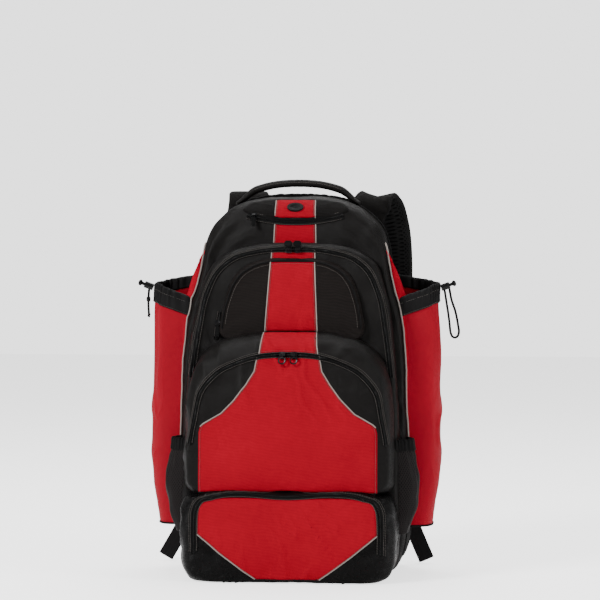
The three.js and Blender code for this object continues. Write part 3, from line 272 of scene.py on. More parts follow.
MAIN_FOLDS = both_sides(
    [
        Fold((0.108, 0.565), (0.142, 0.5), 0.007, 0.0052),
        Fold((0.088, 0.555), (0.136, 0.488), 0.006, -0.0034),
        Fold((0.135, 0.5), (0.155, 0.43), 0.008, 0.004),
        Fold((0.06, 0.545), (0.105, 0.52), 0.006, 0.003),
        Fold((0.075, 0.55), (0.11, 0.532), 0.004, -0.0022),
    ]
)
SECOND_FOLDS = both_sides(
    [
        Fold((0.132, 0.47), (0.152, 0.34), 0.005, 0.0034),
        Fold((0.147, 0.32), (0.156, 0.2), 0.005, -0.0026),
    ]
)
FRONT_FOLDS = [
    Fold((0.115, 0.25), (0.06, 0.19), 0.02, 0.0018),
    Fold((0.13, 0.215), (0.085, 0.165), 0.016, -0.0016),
    Fold((-0.12, 0.26), (-0.1, 0.21), 0.01, -0.0016),
    Fold((-0.11, 0.265), (-0.085, 0.2), 0.014, 0.0014),
    Fold((-0.12, 0.19), (-0.03, 0.165), 0.014, 0.0012),
    Fold((0.0, 0.3), (0.03, 0.2), 0.03, 0.0012),
]
BOTTOM_FOLDS = [
    *both_sides([Fold((0.11, 0.035), (0.145, 0.055), 0.008, 0.0028)]),
    Fold((-0.09, 0.1), (-0.02, 0.085), 0.012, -0.0014),
    Fold((0.1, 0.11), (0.055, 0.07), 0.012, 0.0016),
    Fold((0.03, 0.095), (0.1, 0.085), 0.009, -0.0014),
    Fold((-0.12, 0.07), (-0.08, 0.045), 0.01, 0.0015),
]


def creases(spot: Vector, size: float) -> float:
    """Gives the sharp, slanting creases of slack cloth at a point, from 0 to 1.

    Args:
        spot: The point in metres.
        size: The distance between creases.

    Returns:
        The height of the crease.
    """
    slanted = Vector((spot.x + 0.45 * spot.z, spot.y + 0.3 * spot.x, 0.38 * spot.z - 0.2 * spot.x)) / size
    waver = (noise.noise(spot * 9.0), noise.noise(spot * 9.0 + Vector((7, 3, 1))), 0.0)
    bent = slanted + Vector(waver) * 0.6
    ridge = 1 - min(1.0, abs(noise.noise(bent)) * 3.2)
    patchy = blend_between(-0.15, 0.35, noise.noise(spot * 7.0 + Vector((2, 9, 4))))
    return ridge * ridge * patchy


def lean_share(z: float) -> float:
    """Gives how far up the backward lean a height is, as a share."""
    return max(0.0, (z - LEAN_START) / (BODY_HEIGHT - LEAN_START)) ** LEAN_POWER


def blend_between(low: float, high: float, value: float) -> float:
    """Gives a smooth 0 to 1 step of a value between two limits."""
    share = min(1.0, max(0.0, (value - low) / (high - low)))
    return share * share * (3 - 2 * share)


def smooth_line(points: np.ndarray, knots: np.ndarray, at: np.ndarray, closed: bool) -> np.ndarray:
    """Samples a smooth curve through points with uneven spacing.

    Args:
        points: The points, one a row. A closed line repeats its first point last.
        knots: The parameter of each point.
        at: The parameters wanted.
        closed: Whether the ends join smoothly.

    Returns:
        One row for each parameter wanted.
    """
    step = np.diff(knots)[:, None]
    slope = np.diff(points, axis=0) / step
    tangent = np.zeros_like(points)
    tangent[1:-1] = (slope[:-1] * step[1:] + slope[1:] * step[:-1]) / (step[:-1] + step[1:])
    if closed:
        joined = (slope[-1] * step[0] + slope[0] * step[-1]) / (step[0] + step[-1])
        tangent[0] = joined
        tangent[-1] = joined
    else:
        tangent[0] = slope[0]
        tangent[-1] = slope[-1]
    span = np.clip(np.searchsorted(knots, at, side="right") - 1, 0, len(knots) - 2)
    width = step[span]
    t = ((at - knots[span]) / width[:, 0])[:, None]
    a = (1 + 2 * t) * (1 - t) ** 2
    b = t * (1 - t) ** 2
    c = t * t * (3 - 2 * t)
    d = t * t * (t - 1)
    start = a * points[span] + b * width * tangent[span]
    return start + c * points[span + 1] + d * width * tangent[span + 1]


def distances(points: np.ndarray) -> np.ndarray:
    """Gives how far along a line each of its points lies."""
    return np.concatenate([[0], np.cumsum(np.linalg.norm(np.diff(points, axis=0), axis=1))])


def line_length(line: Sequence[Vector]) -> float:
    """Gives the length of a line of points."""
    return sum((b - a).length for a, b in zip(line, line[1:]))


def through(points: Iterable[Sequence[float]], count: int) -> np.ndarray:
    """Samples a smooth open curve evenly.

    Args:
        points: The points that the curve passes.
        count: How many samples to give.

    Returns:
        The samples, one a row.
    """
    given = np.array([list(point) for point in points], float)
    knots = distances(given)
    fine = smooth_line(given, knots, np.linspace(0, knots[-1], 8 * count), False)
    along = distances(fine)
    wanted = np.linspace(0, along[-1], count)
    return np.stack([np.interp(wanted, along, fine[:, k]) for k in range(fine.shape[1])], axis=1)


def new_piece(name: str, bm: BMesh, wall: float = 0.0, offset: float = -1.0) -> Object:
    """Turns a bmesh into a smooth-shaded object at the origin.

    Args:
        name: The name of the piece.
        bm: The finished bmesh, which is freed.
        wall: The thickness that a live modifier gives a sheet, or 0 for a closed form.
        offset: Where the sheet lies in its thickness, -1 for the outer side.

    Returns:
        The new object.
    """
    mesh = bpy.data.meshes.new(name)
    bm.to_mesh(mesh)
    bm.free()
    mesh.polygons.foreach_set("use_smooth", [True] * len(mesh.polygons))
    piece = bpy.data.objects.new(name, mesh)
    bpy.context.scene.collection.objects.link(piece)
    if wall:
        solid = piece.modifiers.new("wall", "SOLIDIFY")
        solid.thickness = wall
        solid.offset = offset
    return piece


class Slot(Enum):
    """The record's material slots."""

    BLACK = "fabric_black"
    RED = "fabric_red"
    SLEEVE = "fabric_crimson"
    MESH = "mesh_black"
    WEB = "webbing_black"
    ZIP = "zip_black"
    PLASTIC = "plastic_black"
    RUBBER = "rubber_black"


def dress(piece: Object, finish: Material, slot: Slot, *nodes: str) -> None:
    """Gives a piece its material and its body, and hides the nodes it stands for.

    Args:
        piece: The piece.
        finish: Its material.
        slot: The record's material slot; not used.
        nodes: The nodes that it replaces.
    """
    if not piece.data.materials:
        piece.data.materials.append(finish)
    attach(piece, BODY)
    if nodes:
        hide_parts(*nodes)
    logging.info("made %s with %d faces", piece.name, len(piece.data.polygons))


def mapped(
    columns: int,
    rows: int,
    place: Callable[[int, int], Sequence[float]],
    cloth: tuple[float, float] = (1.0, 1.0),
    weld: float = 1e-5,
) -> BMesh:
    """Shapes a grid, with a UV map in metres of cloth, and welds what meets.

    Args:
        columns: Faces across.
        rows: Faces along.
        place: Gives the place of a grid point from its column and row.
        cloth: The width and length that the UV map covers.
        weld: Points closer than this are merged.

    Returns:
        The shaped grid.
    """
    bm = bmesh.new()
    bmesh.ops.create_grid(bm, x_segments=columns, y_segments=rows, size=0.5)
    layer = bm.loops.layers.uv.new("cloth")
    for face in bm.faces:
        for loop in face.loops:
            flat = loop.vert.co
            loop[layer].uv = ((flat.x + 0.5) * cloth[0], (flat.y + 0.5) * cloth[1])
    for vert in bm.verts:
        column = round((vert.co.x + 0.5) * columns)
        row = round((vert.co.y + 0.5) * rows)
        vert.co = Vector(place(column, row))
    bmesh.ops.remove_doubles(bm, verts=bm.verts, dist=weld)
    return bm


def turn_faces(bm: BMesh, outwards: Sequence[float] | None = None) -> None:
    """Makes all faces point the same way, and towards a direction where one is given."""
    bmesh.ops.recalc_face_normals(bm, faces=bm.faces)
    if outwards and sum((face.normal for face in bm.faces), Vector()).dot(Vector(outwards)) < 0:
        bmesh.ops.reverse_faces(bm, faces=bm.faces)


class Skin:
    """The surface of a finished shell, which trim is laid on."""

    def __init__(self, shell: Object) -> None:
        """Keeps a search tree of a shell."""
        verts = [vert.co.copy() for vert in shell.data.vertices]
        faces = [list(face.vertices) for face in shell.data.polygons]
        self.tree = BVHTree.FromPolygons(verts, faces)

    def front(self, x: float, z: float, lift: float = 0.0) -> Vector:
        """Gives the point of the skin seen from the front.

        Args:
            x: Across.
            z: Height.
            lift: How far off the skin the point stands.

        Returns:
            The point, or one inside the bag where there is no skin.
        """
        for nudge in NUDGES:
            hit, normal, _, _ = self.tree.ray_cast(Vector((x + nudge, -FAR, z - nudge)), Vector((0, 1, 0)))
            if hit is not None:
                facing = -normal if normal.y > 0 else normal
                return hit + facing * lift
        return Vector((x, 0.0, z))


def tube(line: Sequence[Sequence[float]], radius: float, sides: int = 8, cap: int = 3) -> BMesh:
    """Makes a closed round tube along a line.

    Args:
        line: The centre line.
        radius: Its radius.
        sides: Faces around.
        cap: Rings in each rounded end.

    Returns:
        The tube, with a UV map around and along it.
    """
    centres = [Vector(point) for point in line]
    tangents = []
    for i, _ in enumerate(centres):
        ahead = centres[min(i + 1, len(centres) - 1)]
        behind = centres[max(i - 1, 0)]
        tangents.append((ahead - behind).normalized())
    side = tangents[0].orthogonal().normalized()
    frames = []
    for tangent in tangents:
        side = (side - tangent * side.dot(tangent)).normalized()
        frames.append((side, tangent.cross(side)))
    length = line_length(centres)
    last = len(centres) - 1
    turns = [k / cap * math.pi / 2 for k in range(cap + 1)]
    rings = [(0, -math.cos(turn), math.sin(turn)) for turn in turns[:-1]]
    rings += [(i, 0.0, 1.0) for i in range(len(centres))]
    rings += [(last, math.sin(turn), math.cos(turn)) for turn in turns[1:]]

    def place(column: int, row: int) -> Vector:
        """Places one point of the tube."""
        index, push, share = rings[row]
        turn = 2 * math.pi * column / sides
        across, up = frames[index]
        ring = across * math.cos(turn) + up * math.sin(turn)
        return centres[index] + tangents[index] * push * radius + ring * radius * share

    return mapped(sides, len(rings) - 1, place, (2 * math.pi * radius, length), weld=1e-6)


def joined(parts: Iterable[BMesh]) -> BMesh:
    """Puts several bmeshes into one and frees them.

    Args:
        parts: The bmeshes.

    Returns:
        One bmesh.
    """
    whole = bmesh.new()
    for part in parts:
        mesh = bpy.data.meshes.new("part")
        part.to_mesh(mesh)
        part.free()
        whole.from_mesh(mesh)
        bpy.data.meshes.remove(mesh)
    return whole


def stitches(line: Sequence[Vector], lift: Vector) -> list[BMesh]:
    """Makes one row of thread stitches along a line on a surface.

    Args:
        line: Points of the seam, close together.
        lift: A small shift that lifts the thread off the cloth.

    Returns:
        The stitches as one small tube each.
    """
    points = np.array([list(p) for p in line], float)
    along = distances(points)
    made = []
    for k in range(int(along[-1] / STITCH_PITCH)):
        ends = []
        for step in (0, 0.5, 1):
            at = k * STITCH_PITCH + step * STITCH_LENGTH
            spot = Vector([float(np.interp(at, along, points[:, c])) for c in range(3)])
            ends.append(spot + lift * (1.3 if step == 0.5 else 0.4))
        made.append(tube(ends, THREAD_RADIUS, sides=4, cap=1))
    return made


class Coords(Enum):
    """Where a pattern takes its place from."""

    OBJECT = "object"
    CLOTH = "cloth"


class NodeBuilder:
    """Builds one material from nodes with few words."""

    def __init__(self, name: str) -> None:
        """Starts a material with its shader and output."""
        self.material = bpy.data.materials.new(name)
        self.material.use_nodes = True
        self.tree = self.material.node_tree
        self.shader = self.tree.nodes["Principled BSDF"]

    def fill(self, node: bpy.types.Node, inputs: dict) -> None:
        """Links each input of a node to a socket, or sets its value."""
        for key, value in inputs.items():
            if isinstance(value, Socket):
                self.tree.links.new(value, node.inputs[key])
            else:
                node.inputs[key].default_value = value

    def node(self, kind: str, inputs: dict | None = None, **settings: object) -> bpy.types.Node:
        """Adds a node, and sets or links its inputs.

        Args:
            kind: The node's type, without its prefix.
            inputs: Values or sockets for named or numbered inputs.
            settings: Properties of the node.

        Returns:
            The node.
        """
        made = self.tree.nodes.new("ShaderNode" + kind)
        for key, value in settings.items():
            setattr(made, key, value)
        self.fill(made, inputs or {})
        return made

    def maths(self, operation: str, *values: object) -> Socket:
        """Adds a maths node and gives its output."""
        return self.node("Math", dict(enumerate(values)), operation=operation).outputs[0]

    def blend(self, *parts: tuple[Socket, float]) -> Socket:
        """Adds up patterns, each by its weight."""
        first, *others = [self.maths("MULTIPLY", pattern, weight) for pattern, weight in parts]
        for other in others:
            first = self.maths("ADD", first, other)
        return first

    def mixed(self, share: object, low: Sequence[float], high: Sequence[float]) -> Socket:
        """Mixes two colours by a share.

        Args:
            share: The share, a number or a socket.
            low: The colour at 0.
            high: The colour at 1.

        Returns:
            The mixed colour.
        """
        inputs = {0: share, 6: (*low, 1.0), 7: (*high, 1.0)}
        return self.node("Mix", inputs, data_type="RGBA").outputs[2]

    def place(self, coords: Coords, scale: float, turn: float = 0.0) -> Socket:
        """Gives a flat pattern place, where one unit is one repeat.

        Args:
            coords: Where the place comes from.
            scale: Repeats to a metre.
            turn: The turn of the pattern in radians.

        Returns:
            The vector.
        """
        source = self.node("TexCoord")
        if coords is Coords.CLOTH:
            flat = source.outputs["UV"]
        else:
            parts = self.node("SeparateXYZ", {0: source.outputs["Object"]})
            across = self.maths("ADD", parts.outputs[0], parts.outputs[1])
            flat = self.node("CombineXYZ", {0: across, 1: parts.outputs[2]}).outputs[0]
        inputs = {0: flat, "Scale": (scale, scale, scale), "Rotation": (0, 0, turn)}
        return self.node("Mapping", inputs).outputs[0]

    def bands(self, place: Socket, direction: str, wobble: float = 0.0) -> Socket:
        """Adds even bands, one to each unit of the place.

        Args:
            place: The pattern's place.
            direction: X or Y.
            wobble: How much the bands waver.

        Returns:
            The height of the bands from 0 to 1.
        """
        inputs = {"Vector": place, "Scale": math.pi / 10, "Distortion": wobble, "Detail Scale": 0.4}
        return self.node("TexWave", inputs, wave_type="BANDS", bands_direction=direction).outputs["Fac"]

    def cloud(self, scale: float, detail: float = 3.0) -> Socket:
        """Adds soft noise in object space, with a size in repeats to a metre."""
        source = self.node("TexCoord")
        inputs = {"Vector": source.outputs["Object"], "Scale": scale, "Detail": detail}
        return self.node("TexNoise", inputs).outputs["Fac"]

    def glow(self, seen: float, lit: float) -> Socket:
        """Gives a strength that differs for what is seen straight on and for the light that is cast."""
        path = self.node("LightPath")
        return self.maths("MULTIPLY_ADD", path.outputs["Is Camera Ray"], seen - lit, lit)

    def bump(self, height: Socket, distance: float, strength: float = 1.0) -> None:
        """Adds a bump of a height to the shader, over any bump that it has."""
        made = self.node("Bump", {"Height": height, "Distance": distance, "Strength": strength})
        known = self.shader.inputs["Normal"]
        if known.is_linked:
            self.tree.links.new(known.links[0].from_socket, made.inputs["Normal"])
        self.tree.links.new(made.outputs[0], known)


@dataclass(frozen=True)
class Woven:
    """A woven cloth: threads over and under, with slack ripples and uneven dye."""

    name: str
    light: Triple
    dark: Triple
    thread: float = 0.0008
    turn: float = 0.0
    roughness: float = 0.62
    specular: float = 0.08
    relief: float = 0.00018
    ripple: float = 0.0012
    uneven: float = 0.35
    moire: float = 0.0
    coords: Coords = Coords.OBJECT

    def build(self) -> Material:
        """Builds the material."""
        nodes = NodeBuilder(self.name)
        place = nodes.place(self.coords, 1 / self.thread, self.turn)
        under = nodes.node("TexChecker", {"Vector": place, "Scale": 1.0}).outputs["Fac"]
        over = nodes.maths("SUBTRACT", 1.0, under)
        weave = nodes.blend((nodes.bands(place, "X"), under), (nodes.bands(place, "Y"), over))
        fine = nodes.cloud(160.0, 4.0)
        patterns = [(weave, 0.45), (fine, 0.25), (nodes.cloud(9.0), self.uneven)]
        if self.moire:
            rings = nodes.bands(nodes.place(self.coords, 210.0, 0.16), "Y", 9.0)
            patterns.append((rings, self.moire))
        nodes.fill(nodes.shader, {
            "Base Color": nodes.mixed(nodes.blend(*patterns), self.dark, self.light),
            "Roughness": nodes.maths("MULTIPLY_ADD", fine, 0.16, self.roughness - 0.08),
            "Specular IOR Level": self.specular,
        })
        nodes.bump(weave, self.relief)
        nodes.bump(nodes.cloud(34.0, 2.0), self.ripple, 0.8)
        nodes.bump(nodes.cloud(110.0, 3.0), 0.0004, 0.7)
        return nodes.material


@dataclass(frozen=True)
class Ribbed:
    """Ribbed webbing, tape or braid, with ribs across its UV map."""

    name: str
    light: Triple
    dark: Triple
    rib: float = 0.0016
    slant: float = 0.5
    roughness: float = 0.6
    relief: float = 0.0003

    def build(self) -> Material:
        """Builds the material."""
        nodes = NodeBuilder(self.name)
        first, second = (
            nodes.bands(nodes.place(Coords.CLOTH, 1 / self.rib, slant), "Y")
            for slant in (self.slant, -self.slant)
        )
        ribs = nodes.maths("MAXIMUM", first, second)
        shade = nodes.blend((ribs, 0.6), (nodes.cloud(40.0), 0.4))
        nodes.fill(nodes.shader, {
            "Base Color": nodes.mixed(shade, self.dark, self.light),
            "Roughness": nodes.maths("MULTIPLY_ADD", nodes.cloud(90.0), 0.2, self.roughness - 0.1),
            "Specular IOR Level": 0.1,
        })
        nodes.bump(ribs, self.relief)
        return nodes.material


@dataclass(frozen=True)
class Netted:
    """Open net with round holes in staggered rows, whose holes are painted near-black as painted shade of
    the dark space behind them.
    """

    name: str
    thread_colour: Triple
    painted_hole_shade: Triple
    hole: float = 0.003
    relief: float = 0.0007

    def build(self) -> Material:
        """Builds the material."""
        nodes = NodeBuilder(self.name)
        place = nodes.place(Coords.CLOTH, 1 / self.hole, math.pi / 4)
        height = nodes.maths("MULTIPLY", nodes.bands(place, "X"), nodes.bands(place, "Y"))
        holes = nodes.node("MapRange", {"Value": height, "From Min": 0.25, "From Max": 0.5}).outputs[0]
        # The holes get painted shade: a near-black colour for the dark space seen through them, not a cut.
        nodes.fill(nodes.shader, {
            "Base Color": nodes.mixed(holes, self.thread_colour, self.painted_hole_shade),
            "Roughness": nodes.maths("MULTIPLY_ADD", nodes.cloud(60.0), 0.25, 0.45),
            "Specular IOR Level": 0.06,
        })
        nodes.bump(nodes.maths("SUBTRACT", 1.0, holes), self.relief)
        nodes.bump(nodes.cloud(50.0), 0.0012)
        return nodes.material


@dataclass(frozen=True)
class Moulded:
    """Moulded plastic, rubber or painted metal, with fine grain and rubbed patches at random."""

    name: str
    colour: Triple
    rubbed: Triple
    roughness: float = 0.4
    metallic: float = 0.0
    grain: float = 1400.0

    def build(self) -> Material:
        """Builds the material."""
        nodes = NodeBuilder(self.name)
        wear = nodes.node("MapRange", {"Value": nodes.cloud(120.0, 5.0), "From Min": 0.52, "From Max": 0.75})
        nodes.fill(nodes.shader, {
            "Base Color": nodes.mixed(wear.outputs[0], self.colour, self.rubbed),
            "Roughness": nodes.maths("MULTIPLY_ADD", wear.outputs[0], 0.15, self.roughness),
            "Metallic": self.metallic,
            "Specular IOR Level": 0.16,
        })
        nodes.bump(nodes.cloud(self.grain, 2.0), 0.00004)
        return nodes.material


class Finishes:
    """Every finish of the bag, built once."""

    def __init__(self) -> None:
        """Builds the materials."""
        black = ((0.006, 0.005, 0.0046), (0.0014, 0.0012, 0.0011))
        self.twill = Woven("black_twill", *black, turn=math.pi / 4, roughness=0.66).build()
        self.satin = Woven(
            "black_satin_nylon", (0.0066, 0.0056, 0.0052), (0.0016, 0.0014, 0.0013),
            thread=0.0005, relief=0.00006, roughness=0.4, specular=0.09,
        ).build()
        self.moire = Woven(
            "black_fine_mesh", (0.0085, 0.006, 0.0052), (0.0012, 0.0009, 0.0009),
            thread=0.001, roughness=0.6, moire=0.4,
        ).build()
        self.coated = Woven(
            "black_coated_base", (0.0018, 0.0014, 0.0014), (0.0003, 0.0003, 0.0003),
            thread=0.0012, roughness=0.28, specular=0.09, ripple=0.0024,
        ).build()
        self.red = Woven(
            "bright_red_weave", (0.405, 0.0036, 0.0175), (0.14, 0.0013, 0.0062),
            thread=0.0009, roughness=0.6, moire=0.1, uneven=0.34, specular=0.03,
        ).build()
        self.crimson = Woven(
            "crimson_nylon", (0.4, 0.004, 0.018), (0.13, 0.0014, 0.006),
            thread=0.0006, roughness=0.5, uneven=0.38, specular=0.06, relief=0.0001,
            coords=Coords.CLOTH,
        ).build()
        self.webbing = Ribbed("black_webbing", (0.0065, 0.006, 0.0062), (0.0014, 0.0013, 0.0014)).build()
        self.tape = Ribbed(
            "black_zip_tape", (0.0022, 0.002, 0.002), (0.0006, 0.0006, 0.0006), rib=0.0009, roughness=0.5
        ).build()
        self.binding = Ribbed(
            "black_binding", (0.005, 0.0045, 0.0045), (0.0012, 0.0012, 0.0012),
            rib=0.0012, slant=0.1, roughness=0.7,
        ).build()
        self.piping = Ribbed(
            "grey_piping", (0.32, 0.28, 0.255), (0.17, 0.148, 0.134), rib=0.001, slant=0.3, roughness=0.55
        ).build()
        self.braid = Ribbed(
            "black_cord_braid", (0.0034, 0.0032, 0.0034), (0.0014, 0.0014, 0.0014),
            rib=0.0012, slant=0.8, relief=0.0001,
        ).build()
        # The thread's light grey is partly its own colour and partly painted highlight, so the stitches read
        # as the glinting dots along the zips.
        self.thread = Ribbed("grey_thread_and_painted_glint", (0.13, 0.117, 0.107), (0.06, 0.053, 0.05), rib=0.0006).build()
        # The second colour of each net and spacer mesh is painted shade for its holes.
        self.net = Netted(
            "black_net", (0.016, 0.0135, 0.0135), (0.0002, 0.0002, 0.0002), hole=0.0038
        ).build()
        self.spacer = Netted(
            "black_spacer_mesh", (0.009, 0.0088, 0.0088), (0.0006, 0.0006, 0.0006),
            hole=0.0042, relief=0.0009,
        ).build()
        self.plastic = Moulded("black_plastic", (0.0016, 0.0016, 0.0016), (0.005, 0.005, 0.005), 0.3).build()
        self.metal = Moulded("dark_metal", (0.012, 0.012, 0.013), (0.08, 0.08, 0.08), 0.3, 0.7).build()
        self.rubber = Moulded("soft_rubber", (0.003, 0.003, 0.003), (0.006, 0.006, 0.006), 0.6).build()


@dataclass
class Pouch:
    """One soft layer of the bag: a lofted cloth shell, open towards the layer behind it.

    The surface has two coordinates: a column around the outline, from the bottom centre up the
    right side, and a reach of 0 to 1 along the side wall, 1 to 2 round the edge and 2 to 3 from
    the front outline to the middle of the face.
    """

    name: str
    rows: list[Row]
    half: float
    bottom: float
    height: float
    back: float
    edge: float
    crown: float
    front: Callable[[float], float]
    folds: list[Fold] = field(default_factory=list)
    slack: float = 0.0019
    pucker: float = 0.0014
    columns: int = 216
    wall_steps: int = 10
    edge_steps: int = 8
    face_steps: int = 26

    def __post_init__(self) -> None:
        """Samples the two outlines."""
        right = [(r.side, r.up, r.face_side, r.face_up) for r in self.rows]
        left = [(-r.side, r.up, -r.face_side, r.face_up) for r in self.rows[-2:0:-1]]
        points = np.array([*right, *left, right[0]], float)
        points[:, 0::2] *= self.half
        points[:, 1::2] = self.bottom + points[:, 1::2] * self.height
        chord = np.linalg.norm(np.diff(points[:, :2], axis=0), axis=1)
        chord = (chord + np.linalg.norm(np.diff(points[:, 2:], axis=0), axis=1)) / 2
        knots = np.concatenate([[0], np.cumsum(chord)])
        self.length = float(knots[-1])
        at = np.linspace(0, self.length, self.columns + 1)
        self.loop = smooth_line(points, knots, at, True)
        ahead = np.roll(self.loop[:-1], -1, axis=0) - np.roll(self.loop[:-1], 1, axis=0)
        normal = np.stack([ahead[:, 1], -ahead[:, 0]], axis=1)
        normal /= np.linalg.norm(normal, axis=1)[:, None]
        self.normal = np.concatenate([normal, normal[:1]])

    @property
    def centre(self) -> float:
        """The height of the middle of the face."""
        return self.bottom + self.height / 2

    def column_at(self, z: float, sign: int, face: bool = False) -> float:
        """Gives the column where one side of the outline has a height.

        Args:
            z: The height.
            sign: The side, -1 for left.
            face: Whether the front outline is meant.

        Returns:
            The column, not rounded.
        """
        half = self.columns // 2
        heights = self.loop[: half + 1, 3 if face else 1]
        column = float(np.interp(z, np.maximum.accumulate(heights), np.arange(half + 1)))
        return column if sign > 0 else self.columns - column

    def spot(self, column: float) -> tuple[np.ndarray, np.ndarray]:
        """Gives the outline point and its outward normal at a column."""
        wrapped = column % self.columns
        low = int(wrapped)
        share = wrapped - low
        point = self.loop[low] * (1 - share) + self.loop[low + 1] * share
        normal = self.normal[low] * (1 - share) + self.normal[low + 1] * share
        return point, normal

    def surface(self, column: float, reach: float, lift: float = 0.0) -> Vector:
        """Gives a point of the cloth.

        Args:
            column: Around the outline.
            reach: From the back edge to the middle of the face.
            lift: How far off the cloth the point stands.

        Returns:
            The point.
        """
        (bx, bz, fx, fz), (nx, nz) = self.spot(column)
        turn = min(max(reach - 1, 0.0), 1.0) * math.pi / 2
        round_share = 1 - math.cos(turn)
        x = bx + (fx - bx) * round_share
        z = bz + (fz - bz) * round_share
        if reach <= 1:
            y = self.back + (self.front(z) + self.edge - self.back) * reach
        elif reach <= 2:
            y = self.front(z) + self.edge * (1 - math.sin(turn))
        else:
            share = 3 - reach
            x = fx * share
            z = self.centre + (fz - self.centre) * share
            y = self.front(z) - self.crown * (1 - share * share)
        stand = lift + self.drape(column, reach, x, y, z)
        out = math.cos(turn)
        return Vector((x + nx * out * stand, y - math.sin(turn) * stand, max(0.0016, z + nz * out * stand)))

    def drape(self, column: float, reach: float, x: float, y: float, z: float) -> float:
        """Gives how far the cloth stands off its plain form at a point."""
        spot = Vector((x, y, z))
        loose = self.slack * (noise.noise(spot * 21.0) + 0.4 * noise.noise(spot * 58.0))
        loose += self.slack * 1.7 * creases(spot, 0.036)
        facing = blend_between(1.5, 2.0, reach)
        folds = facing * sum(fold.height(x, z) for fold in self.folds)
        arc = column / self.columns * self.length
        seam = abs(reach - 2) * (self.edge * 1.5 if reach < 2 else self.height / 2)
        gather = noise.noise(Vector((arc * 110.0, seam * 25.0, self.half * 50)))
        gathered = self.pucker * gather * math.exp(-((seam / 0.014) ** 2))
        still = min(1.0, reach * 3) if reach < 1 else 1.0
        return (loose + folds + gathered) * still

    def beside(self, column: float, distance: float, lift: float = 0.0) -> Vector:
        """Gives a point at a distance from the front outline, seen from the front.

        Args:
            column: Around the outline.
            distance: Outwards, or inwards below zero.
            lift: How far off the cloth the point stands.

        Returns:
            The point.
        """
        (bx, bz, fx, fz), (nx, nz) = self.spot(column)
        if distance >= 0:
            wide = max(math.hypot(bx - fx, bz - fz), 1e-4)
            turn = math.acos(min(1.0, distance / wide))
            return self.surface(column, 1 + turn / (math.pi / 2), lift)
        reach = abs(fx * nx + (fz - self.centre) * nz)
        return self.surface(column, 2 - distance / max(reach, 1e-3), lift)

    def build(self) -> Object:
        """Builds the shell.

        Returns:
            The shell as an object without a material.
        """
        reaches = [k / self.wall_steps for k in range(self.wall_steps)]
        reaches += [1 + k / self.edge_steps for k in range(self.edge_steps)]
        reaches += [2 + k / self.face_steps for k in range(self.face_steps + 1)]

        def place(column: int, row: int) -> Vector:
            """Places one point of the shell."""
            return self.surface(column, reaches[row])

        bm = mapped(self.columns, len(reaches) - 1, place, (self.length, self.height / 2))
        return new_piece(self.name, bm, SHELL_WALL)

    def walk(self, start: float, end: float, count: int) -> list[float]:
        """Gives evenly spread columns between two columns."""
        return [start + (end - start) * k / (count - 1) for k in range(count)]


def front_of(plane: float, lean: float) -> Callable[[float], float]:
    """Gives the depth of a face by height.

    Args:
        plane: Its depth at the base.
        lean: How far back it leans at the top of the bag.

    Returns:
        A function of the height.
    """
    return lambda z: plane + lean * lean_share(z)


class Layers:
    """The shells of the bag, from the back to the front."""

    def __init__(self) -> None:
        """Sets the size of each shell."""
        self.main = Pouch(
            "main_compartment_cloth", MAIN_OUTLINE, BODY_HALF, 0.0, BODY_HEIGHT, MAIN_BACK, 0.024, 0.003,
            front_of(MAIN_FRONT, MAIN_LEAN), MAIN_FOLDS, columns=288, face_steps=34,
        )
        self.second = Pouch(
            "second_compartment_cloth", SECOND_OUTLINE, SECOND_HALF, 0.0, SECOND_HEIGHT,
            0.0457, 0.013, 0.004, front_of(SECOND_FRONT, SECOND_LEAN), SECOND_FOLDS,
            columns=288, face_steps=30,
        )
        self.organizer = Pouch(
            "organizer_pocket_cloth", ORGANIZER_OUTLINE, ORGANIZER_HALF, ORGANIZER_BOTTOM, ORGANIZER_HEIGHT,
            0.0157, 0.008, 0.004, front_of(ORGANIZER_FACE, ORGANIZER_LEAN), slack=0.0014,
        )
        self.front = Pouch(
            "front_pocket_cloth", FRONT_OUTLINE, FRONT_HALF, FRONT_BOTTOM, FRONT_HEIGHT,
            -0.0193, 0.04, 0.009, front_of(FRONT_FACE, FRONT_LEAN), FRONT_FOLDS, columns=264,
        )
        self.bottom = Pouch(
            "bottom_pocket_cloth", BOTTOM_OUTLINE, BOTTOM_HALF, 0.0, BOTTOM_HEIGHT, -0.0333, 0.022, 0.006,
            front_of(BOTTOM_FRONT, 0.0), BOTTOM_FOLDS, columns=264,
        )
        self.top = Pouch(
            "top_pocket_cloth", TOP_OUTLINE, TOP_HALF, TOP_BASE, TOP_HEIGHT, 0.0857, 0.005, 0.003,
            lambda z: TOP_FACE + TOP_SLOPE * (z - TOP_BASE), slack=0.0005, pucker=0.0004, columns=160,
        )

    def build(self, finishes: Finishes) -> dict[str, Skin]:
        """Builds and dresses the shells.

        Args:
            finishes: The finishes.

        Returns:
            A skin for each shell, by short name.
        """
        looks = {
            "main": (self.main, finishes.satin, "main_compartment"),
            "second": (self.second, finishes.satin, "second_compartment"),
            "organizer": (self.organizer, finishes.moire, "organizer_pocket"),
            "front": (self.front, finishes.satin, "front_pocket"),
            "bottom": (self.bottom, finishes.coated, "bottom_pocket"),
            "top": (self.top, finishes.twill, "top_pocket"),
        }
        skins = {}
        for name, (form, finish, node) in looks.items():
            piece = form.build()
            skins[name] = Skin(piece)
            dress(piece, finish, Slot.BLACK, node)
        return skins


